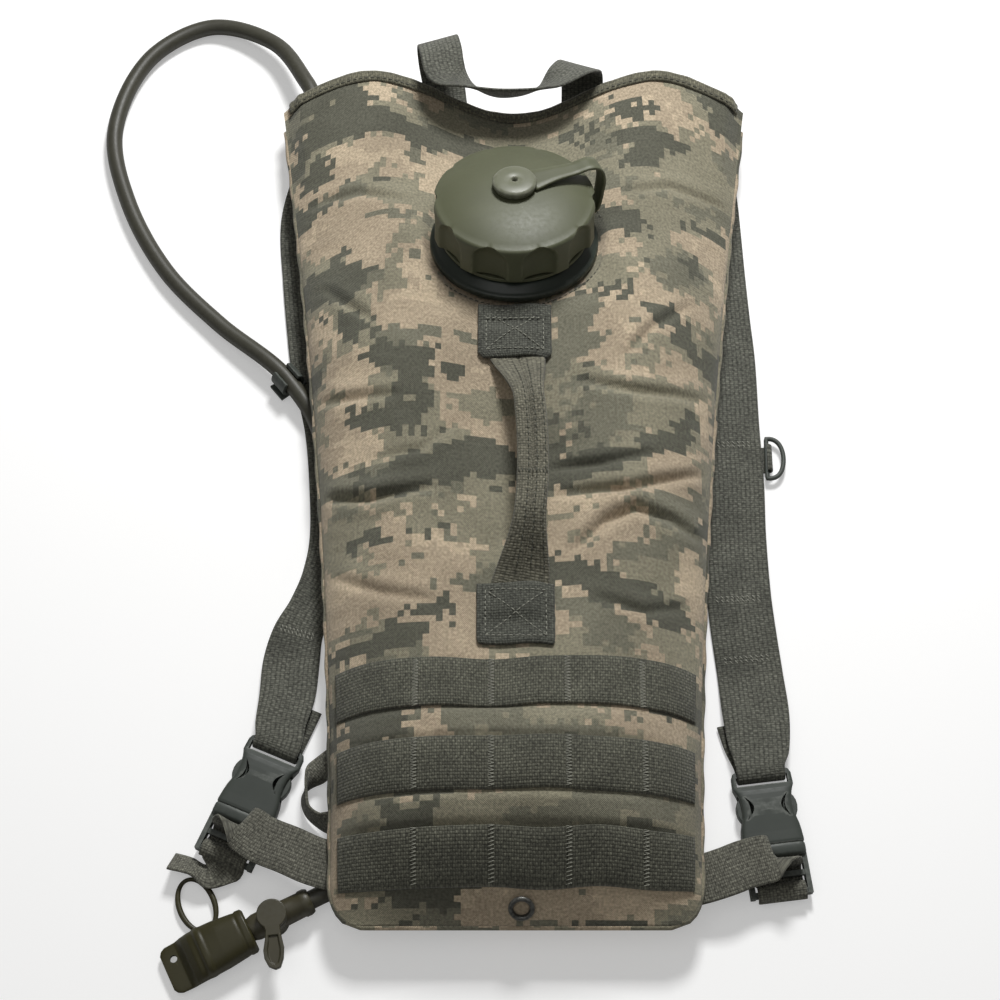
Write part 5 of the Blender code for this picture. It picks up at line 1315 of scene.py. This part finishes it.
def bar_tack(path, sides, widths, at, rows, thick):
    """Zigzag stitches across a band where it passes a height y."""
    i = int(np.argmin(np.abs(path[: len(path) * 3 // 4, 1] - at)))
    along = path[i + 1] - path[i - 1]
    along = along / np.linalg.norm(along)
    side = sides[i] / np.linalg.norm(sides[i])
    up = np.cross(along, side)
    up = up * np.sign(up[2])
    out = []
    for row in range(rows):
        mid = path[i] + along * 0.0022 * row + up * thick / 2
        for k in range(9):
            a = mid + side * widths[i] * (-0.36 + 0.08 * k) - along * 0.0008
            b = mid + side * widths[i] * (-0.32 + 0.08 * k) + along * 0.0008
            out.append((a, b, up))
    return out


STRAPS = {
    "left": (
        -1,
        [
            (-0.0844, 0.9854, 1),
            (-0.0294, 0.8750, 1),
            (-0.0211, 0.7952, 1),
            (-0.0196, 0.7258, 1),
            (-0.0216, 0.6781, 1),
            (-0.0398, 0.5919, 1),
            (-0.0401, 0.5019, 1),
            (-0.0320, 0.4479, 0.98),
            (-0.0072, 0.4063, 0.88),
            (0.0345, 0.3671, 0.70),
            (0.0613, 0.3371, 0.78),
            (0.0753, 0.3052, 0.86),
        ],
        [
            (-0.0266, -0.0079, 0.0040, 0.0295), (-0.0110, -0.0040, 0.0068, 0.0265),
            (-0.0035, -0.0010, 0.0086, 0.025)
        ],
        [(-0.0040, 0, 0.0012, 0.025), (-0.0160, 0, 0.0010, 0.025), (-0.0250, 0, 0.0010, 0.025)],
        [-0.124],
    ),
    "right": (
        1,
        [
            (-0.0822, 0.9771, 1),
            (-0.0491, 0.8938, 1),
            (-0.0210, 0.8008, 1),
            (-0.0024, 0.7396, 1),
            (0.0151, 0.6835, 1),
            (0.0326, 0.5958, 1),
            (0.0423, 0.5521, 1),
            (0.0498, 0.5158, 1),
            (0.0580, 0.4579, 1),
            (0.0716, 0.3852, 1),
            (0.0833, 0.3408, 1),
            (0.0983, 0.2888, 1),
        ],
        [
            (-0.0300, 0.0036, 0.0040, 0.035), (-0.0110, 0.0017, 0.0068, 0.031),
            (-0.0035, 0.0004, 0.0086, 0.02625)
        ],
        [(-0.0040, 0, 0.0012, 0.025), (-0.0160, -0.0012, 0.0010, 0.029), (-0.0280, -0.0020, 0.0010, 0.031)],
        [0.0193, -0.0715, -0.150],
    ),
}
SLOT_FOLD = [(0.0010, 0, 0.0090, 0.025), (0.0040, 0, 0.0083, 0.025), (0.0056, 0, 0.0060, 0.025)]
SLOT_FOLD += [(0.0050, 0, 0.0032, 0.025), (0.0026, 0, 0.0018, 0.025)]
for hand, (sign, route, over_bar, under_bar, tacks) in STRAPS.items():
    m = BUCKLES[hand]
    across = np.array(m.to_3x3() @ Vector((0, 1, 0)))
    points, sides, widths = [], [], []
    top_x, top_y = beside(sign, *route[0][:2])
    for y, drop in ((top_y, 0.0), (top_y - 0.022, 0.0006)):
        u, s = find(top_x + np.array([-0.0175, 0.0175]), np.array([y, y]))
        high = back(u, s)
        tilt = np.array([0.035, 0.0, high[1] - high[0]])
        points.append(np.array([top_x, y, under_back(top_x, y, tilt, np.linalg.norm(tilt)) - drop]))
        sides.append(tilt)
        widths.append(0.035)
    lie = [np.array([*beside(sign, out, up), 0.0]) for out, up, share in route[1:]]
    for k, p in enumerate(lie):
        d = lie[min(k + 1, len(lie) - 1)] - lie[max(k - 1, 0)]
        over = 0.0018 * math.exp(-(((p[1] - 0.010) / 0.030) ** 4)) if hand == "right" else 0.0
        points.append(p + np.array([0, 0, 0.0011 + over]))
        sides.append(np.array([-d[1], d[0], 0.0]))
        widths.append(0.035 * route[k + 1][2])
    last = sides[-1] / np.linalg.norm(sides[-1])
    across = across * np.sign(np.dot(across, last))
    for k, (x, y, z, w) in enumerate(over_bar + SLOT_FOLD + under_bar):
        share = (0.35, 0.75, 1.0)[min(k, 2)]
        points.append(np.array(m @ Vector((x, y, z))))
        sides.append(last * (1 - share) + across * share)
        widths.append(w)
    sides = [d / np.linalg.norm(d) for d in sides]
    for k in range(1, len(sides)):
        sides[k] = sides[k] * (1 if np.dot(sides[k], sides[k - 1]) >= 0 else -1)
    path, spans = evened(points, 300)
    even = np.linspace(0, spans[-1], 300)
    turns = through(spans, sides, even)
    wide = through(spans, widths, even)
    strap = ribbon("shoulder_web_" + hand, path, turns, wide, 0.0016)
    strap.data.materials.append(strap_web)
    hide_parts("shoulder_strap_" + hand)
    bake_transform(strap)
    marks = []
    for at in tacks:
        marks += bar_tack(path, turns, wide, at, 2, 0.0016)
    marks = sewn("shoulder_tacks_" + hand, marks, 0.00026, pale_thread, None, "webbing")
    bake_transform(marks)

# Lower straps: 25 mm webbing from the side seams into the plug's ladder.
# The left one ends in a folded loose tail.
# The small loop beside the left socket is a loose end of narrower webbing sewn behind the edge.
low_web = woven("lower_webbing", (0.165, 0.163, 0.130), (0.066, 0.065, 0.052), (0.0017, 0.0011), 0.0005)
ladder = [
    (0.0108, 0.0070), (0.0110, 0.0040), (0.0130, 0.0016), (0.0165, 0.0014), (0.0192, 0.0032),
    (0.0200, 0.0062)
]
ladder += [(0.0225, 0.0082), (0.0262, 0.0076), (0.0285, 0.0050)]
LEADS = {
    "left": [
        (-0.0147, 0.0650, None), (0.0353, 0.0710, 0.0180), (0.0787, 0.0820, 0.0180),
        (0.1294, 0.0948, 0.0158)
    ],
    "right": [
        (-0.0232, 0.0500, None), (0.0134, 0.0542, 0.0150), (0.0499, 0.0604, 0.0165),
        (0.0863, 0.0688, 0.0155)
    ],
}
DIVES = {
    "left": [((0.0085, 0.003, 0.0140), 0.55), ((0.0100, 0.000, 0.0112), 0.9)],
    "right": [((0.0085, -0.002, 0.0145), 0.55), ((0.0100, 0.000, 0.0112), 0.9)],
}
TAILS = {
    "left": [
        ((PLUG_END + 0.0096, -0.0040, 0.0036), (0.55, -0.75, 0.2), 0.016),
        ((PLUG_END + 0.0094, -0.0138, 0.0050), (0.2, -0.75, 0.6), 0.0145),
        ((PLUG_END + 0.0108, -0.0236, 0.0050), (0.05, -0.75, 0.65), 0.0145),
    ],
    "right": [],
}
for hand, m in BUCKLES.items():
    sign = -1 if hand == "left" else 1
    points, sides, widths = [], [], []
    for out, up, z in LEADS[hand]:
        x, y = beside(sign, out, up)
        points.append(np.array([x, y, under_back(x, y, (-0.22 * sign, 1, 0), 0.025) if z is None else z]))
    for k in range(4):
        d = points[min(k + 1, 3)] - points[max(k - 1, 0)]
        d = np.array([-d[1], d[0], 0])
        sides.append(d / np.linalg.norm(d))
        widths.append(0.025)
    across = np.array(m.to_3x3() @ Vector((0, 1, 0)))
    across = across * np.sign(np.dot(across, sides[-1]))
    lead_side = sides[-1]
    for (x, y, z), share in DIVES[hand]:
        points.append(np.array(m @ Vector((SOCKET + x, y, z))))
        sides.append(lead_side * (1 - share) + across * share)
        widths.append(0.025)
    for x, z in ladder:
        points.append(np.array(m @ Vector((SOCKET + x, 0, z))))
        sides.append(across)
        widths.append(0.025)
    last = across
    for p, d, w in TAILS[hand]:
        points.append(np.array(m @ Vector(p)))
        last = np.array(d) * (1 if np.dot(d, last) > 0 else -1)
        sides.append(last)
        widths.append(w)
    path, spans = evened(points, 170)
    even = np.linspace(0, spans[-1], 170)
    strap = ribbon(
        "lower_web_" + hand, path, through(spans, sides, even), through(spans, widths, even), 0.0014
    )
    dressed(strap, low_web, "pack", "webbing", "lower_strap_" + hand)

side_route = []
for out, up, z in (
    (-0.0343, 0.1896, None),
    (-0.0064, 0.1854, 0.0120),
    (0.0279, 0.1719, 0.0085),
    (0.0516, 0.1521, 0.0075),
    (0.0476, 0.1313, 0.0075),
    (0.0210, 0.1177, 0.0085),
    (-0.0026, 0.1135, 0.0120),
    (-0.0283, 0.1125, None),
):
    x, y = beside(-1, out, up)
    side_route.append((x, y, under_back(x, y, (0.2, 1, 0), 0.013) if z is None else z))
side_turn = [(0.3, 1, 0), (0.3, 1, 0.1), (0.3, 1, 0.35), (0.3, 0.6, 0.9), (0.1, 0.3, 1), (-0.1, 0.5, 0.9)]
side_turn += [(-0.2, 0.9, 0.4), (0.0, 1, 0)]
path, spans = evened(side_route, 70)
turns = through(spans, side_turn, np.linspace(0, spans[-1], 70))
side_loop = ribbon("side_loop_web", path, turns, 0.013, 0.0014)
dressed(side_loop, low_web, "pack", "webbing", "side_loop_left")

# D-ring: a moulded ring beside the right strap.
# It swings in a folded webbing keeper that is sewn under the strap's edge.
RING = Matrix.Translation((0.139955, 0.010008, 0.003546)) @ Matrix.Rotation(math.radians(-1), 4, "Z")
bow = [(0.0, y) for y in np.linspace(0.0122, -0.0122, 24)]
for a in np.linspace(-90, 90, 40)[1:-1]:
    bow.append((0.0093 * math.cos(math.radians(a)) ** 0.7, 0.0122 * math.sin(math.radians(a))))
ring = welded(swept("d_ring_bow", carried(RING, [(x, y, 0.0) for x, y in bow]), 0.0013, 14, closed=True))
dressed(ring, black, "ring", "buckle_plastic", "d_ring")
keeper_r = 0.00265
keeper = [(-0.016, -0.002746), (-0.009, -0.002746), (-0.004, -keeper_r)]
keeper += [
    (keeper_r * math.sin(math.radians(a)), -keeper_r * math.cos(math.radians(a))) for a in range(0, 181, 20)
]
path, spans = evened(carried(RING, [(x, 0, z) for x, z in keeper]), 50)
fold_web = ribbon("ring_keeper_web", path, np.tile([0, 1.0, 0], (50, 1)), 0.016, 0.0009)
dressed(fold_web, strap_web, "pack", "webbing", "ring_keeper")

# Drink hose: dark rubber tube, out of the mouth's corner in a wide bow and through the clip.
# From there it goes over the left strap and
# under the pack's edge to the valve; inside it runs over the bag to an elbow.
hose_rubber = moulded("hose_rubber", (0.046, 0.044, 0.031), 0.48, (0.09, 0.09, 0.07), 0.45)
VALVE = Matrix.Translation((*beside(-1, 0.1068, 0.0146), 0.0082)) @ Matrix.Rotation(math.radians(207), 4, "Z")
EXIT_U = -0.86
exit_x, exit_y = [float(c) for c in plan(np.array(EXIT_U), np.array(1.0))]
exit_z = float(front(np.array(EXIT_U), np.array(1.0)) + back(np.array(EXIT_U), np.array(1.0))) / 2
clip_x, clip_y = beside(-1, 0.0510, 0.6500)
LIE_Z = 0.00515
ON_STRAP = 0.00725
CLIP_Z = 0.00945
hose_route = [(exit_x - 0.0003, exit_y - 0.0052, exit_z), (exit_x - 0.006, exit_y + 0.010, exit_z - 0.001)]
for out, up, z in (
    (0.0368, 1.1323, 0.0110),
    (0.1838, 1.1656, LIE_Z),
    (0.3162, 1.1146, LIE_Z),
    (0.3768, 1.0073, LIE_Z),
    (0.3612, 0.9042, LIE_Z),
    (0.2915, 0.8042, LIE_Z),
    (0.1838, 0.7271, LIE_Z + 0.001),
):
    hose_route.append((*beside(-1, out, up), z))
hose_route += [(clip_x - 0.010, clip_y + 0.0105, CLIP_Z), (clip_x + 0.002, clip_y - 0.0025, CLIP_Z)]
for out, up, z in (
    (0.0006, 0.5979, ON_STRAP),
    (-0.0257, 0.5208, ON_STRAP),
    (-0.0305, 0.4271, ON_STRAP),
    (-0.0374, 0.3604, ON_STRAP),
    (-0.0426, 0.3104, LIE_Z + 0.0006),
    (-0.0518, 0.2188, LIE_Z),
    (-0.0475, 0.1250, LIE_Z),
    (-0.0407, 0.0719, LIE_Z),
):
    hose_route.append((*beside(-1, out, up), z))
for x, z in ((-0.0385, -0.0034), (-0.0295, -0.0002), (-0.0190, 0.0)):
    hose_route.append(tuple(VALVE @ Vector((x, 0, z))))
path, spans = evened(hose_route, 420)
curve = bpy.data.curves.new("drink_tube", "CURVE")
curve.dimensions = "3D"
curve.bevel_depth = 0.00475
curve.bevel_resolution = 6
curve.use_fill_caps = True
spline = curve.splines.new("POLY")
spline.points.add(len(path) - 1)
for point, p in zip(spline.points, path):
    point.co = (*p, 1.0)
hose = show("drink_tube", curve)
dressed(hose, hose_rubber, "pack", "hose_rubber", "drink_hose")
inside = rounded_copy("inner_tube", "hose_inside", 1)
for part in inside.data.polygons:
    part.use_smooth = True
dressed(inside, hose_rubber, "pack", "hose_rubber", "hose_inside")
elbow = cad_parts["outlet_elbow"]
elbow.data.materials.clear()
elbow.data.materials.append(hose_rubber)

# Hose clip: a sprung plastic collar round the hose.
# Its foot is sewn to the left strap.
i = int(np.argmin(np.linalg.norm(path - np.array([clip_x, clip_y, CLIP_Z]), axis=1)))
heading = path[i + 3] - path[i - 3]
CLIP = Matrix.Translation(path[i]) @ Matrix.Rotation(math.atan2(heading[1], heading[0]) - math.pi / 2, 4, "Z")
CLIP = CLIP @ Matrix.Rotation(math.radians(90), 4, "X")
foot = float(path[i][2]) - 0.0022
bore = 0.00535
rim = bore + 0.0022
outline = [(-0.0090, -foot), (0.0090, -foot), (0.0090, -foot + 0.0022)]
outline += [(rim * math.cos(math.radians(a)), rim * math.sin(math.radians(a))) for a in range(-55, 56, 10)]
outline += [
    (bore * math.cos(math.radians(a)), bore * math.sin(math.radians(a))) for a in range(55, -236, -10)
]
outline += [(rim * math.cos(math.radians(a)), rim * math.sin(math.radians(a))) for a in range(125, 236, 10)]
outline += [(-0.0090, -foot + 0.0022)]
clip = softened(outlined("hose_collar", outline, -0.0055, 0.0055, CLIP), 0.0006, 2, 40)
dressed(clip, black, "pack", "buckle_plastic", "hose_clip")

# Valve: a shut-off with a turning wing lever on the hose's end, and a bite valve under a soft pull-off cover
# with a finger loop and a holed tab.
valve_black = moulded("valve_black", (0.050, 0.044, 0.022), 0.44, (0.10, 0.10, 0.08))
cover_olive = moulded("cover_olive", (0.036, 0.032, 0.010), 0.42, (0.080, 0.074, 0.040), 0.4)
LIE = VALVE @ Matrix.Rotation(math.radians(90), 4, "Y")
stem = turned(
    "valve_stem",
    [(0.0, -0.0075), (0.0071, -0.0075), (0.0075, -0.0070), (0.0075, 0.0066), (0.0071, 0.0074), (0.0, 0.0080)],
    64,
    VALVE,
)
dressed(stem, valve_black, "pack", "valve_rubber", "valve_body")
barrel = turned(
    "valve_barrel",
    [
        (0.0, -0.0205),
        (0.0058, -0.0205),
        (0.0062, -0.0202),
        (0.0069, -0.0185),
        (0.0069, -0.0160),
        (0.0064, -0.0150),
        (0.0065, -0.0100),
        (0.0067, 0.0060),
        (0.0067, 0.0095),
        (0.0060, 0.0118),
        (0.0056, 0.0150),
        (0.0, 0.0150),
    ],
    64,
    LIE,
)
dressed(barrel, valve_black, "pack", "valve_rubber")
LEVER = VALVE @ Matrix.Rotation(math.radians(160), 4, "Z")
wing = [(0.0075 * math.cos(math.radians(a)), 0.0075 * math.sin(math.radians(a))) for a in range(-60, 241, 8)]
blade = np.array(
    [(-0.0036, -0.0080), (-0.0040, -0.0120), (-0.0053, -0.0178), (-0.0050, -0.0220), (-0.0032, -0.0260)]
)
blade = np.concatenate([blade, [(0.0, -0.0278), (0.0026, -0.0270), (0.0044, -0.0225), (0.0050, -0.0170)]])
blade = np.concatenate([blade, [(0.0042, -0.0120), (0.0038, -0.0080)]])
wing += [tuple(q) for q in blade]
lever = outlined("lever_wing", wing, 0.0083, 0.0111, LEVER)
middle = np.array([0.0, -0.0185])
dish = [tuple(middle + (q - middle) * [0.62, 0.72]) for q in blade]
cut(lever, [outlined("cutter", dish, 0.0099, 0.0130, LEVER)])
softened(lever, 0.0008, 3, 40)
dressed(lever, valve_black, "lever", "valve_rubber", "shutoff_lever")
bite = turned(
    "bite_tip",
    [(0.0, 0.0128), (0.0058, 0.0128), (0.0062, 0.0208), (0.0050, 0.0328), (0.0040, 0.0388), (0.0, 0.0398)],
    48,
    LIE,
)
bite_grey = moulded("bite_grey", (0.30, 0.31, 0.30), 0.4, (0.4, 0.4, 0.38))
dressed(bite, bite_grey, "pack", "mouthpiece", "bite_valve")
COVER = 0.0125
shape_a = [0.0, 0.0010, 0.0035, 0.0046, 0.0060, 0.0160, 0.0225, 0.0240, 0.0258, 0.0274, 0.0300]
shape_a += [0.0335, 0.0355, 0.0370, 0.0422, 0.0445, 0.0457]
shape_w = [0.0104, 0.0115, 0.0117, 0.0112, 0.0115, 0.0126, 0.0129, 0.0132, 0.0132, 0.0129, 0.0129]
shape_w += [0.0128, 0.0127, 0.0126, 0.0124, 0.0112, 0.0092]
shape_h = [0.0070, 0.0080, 0.0081, 0.0077, 0.0080, 0.0080, 0.0075, 0.0078, 0.0076, 0.0065, 0.0061]
shape_h += [0.0042, 0.0024, 0.0016, 0.0014, 0.0013, 0.0012]
rows = []
for a in np.linspace(0, 0.0457, 90):
    w = float(np.interp(a, shape_a, shape_w))
    h = float(np.interp(a, shape_a, shape_h))
    sink = min(0.0, h - 0.0076) * 0.75
    t = np.linspace(0, 2 * math.pi, 48, endpoint=False)
    yy = w * np.sign(np.cos(t)) * np.abs(np.cos(t)) ** 0.75
    zz = h * np.sign(np.sin(t)) * np.abs(np.sin(t)) ** 0.75 + sink
    rows.append(np.stack([COVER + a + 0 * t, yy, zz], axis=1))
cover = welded(net("cover_sleeve", carried(VALVE, np.array(rows)), wrap=True, caps=True))
bore = [(0.0, COVER - 0.003), (0.0070, COVER - 0.003), (0.0070, COVER + 0.014), (0.0056, COVER + 0.024)]
bore += [(0.0044, COVER + 0.0280), (0.0, COVER + 0.0280)]
eyelet_spot = VALVE @ Matrix.Translation((COVER + 0.0400, -0.005, 0))
hole = turned("cutter", [(0.0, -0.02), (0.0019, -0.02), (0.0019, 0.02), (0.0, 0.02)], 24, eyelet_spot)
cut(cover, [turned("cutter", bore, 32, LIE), hole])
for face in cover.data.polygons:
    face.use_smooth = True
softened(cover, 0.0004, 2, 50)
dressed(cover, cover_olive, "cover", "valve_rubber", "valve_cover")
oval = []
for a in np.linspace(0, 2 * math.pi, 72, endpoint=False):
    x, y = 0.0140 * math.cos(a), 0.0087 * math.sin(a)
    turned_x = COVER + 0.019 + x * math.cos(1.55) - y * math.sin(1.55)
    oval.append((turned_x, -0.0254 + x * math.sin(1.55) + y * math.cos(1.55), -0.0064))
rod = 0.0015 - 0.0004 * np.cos(np.linspace(0, 2 * math.pi, 72, endpoint=False)) ** 2
finger = welded(swept("cover_loop", carried(VALVE, oval), rod, 12, closed=True))
dressed(finger, cover_olive, "cover", "valve_rubber")
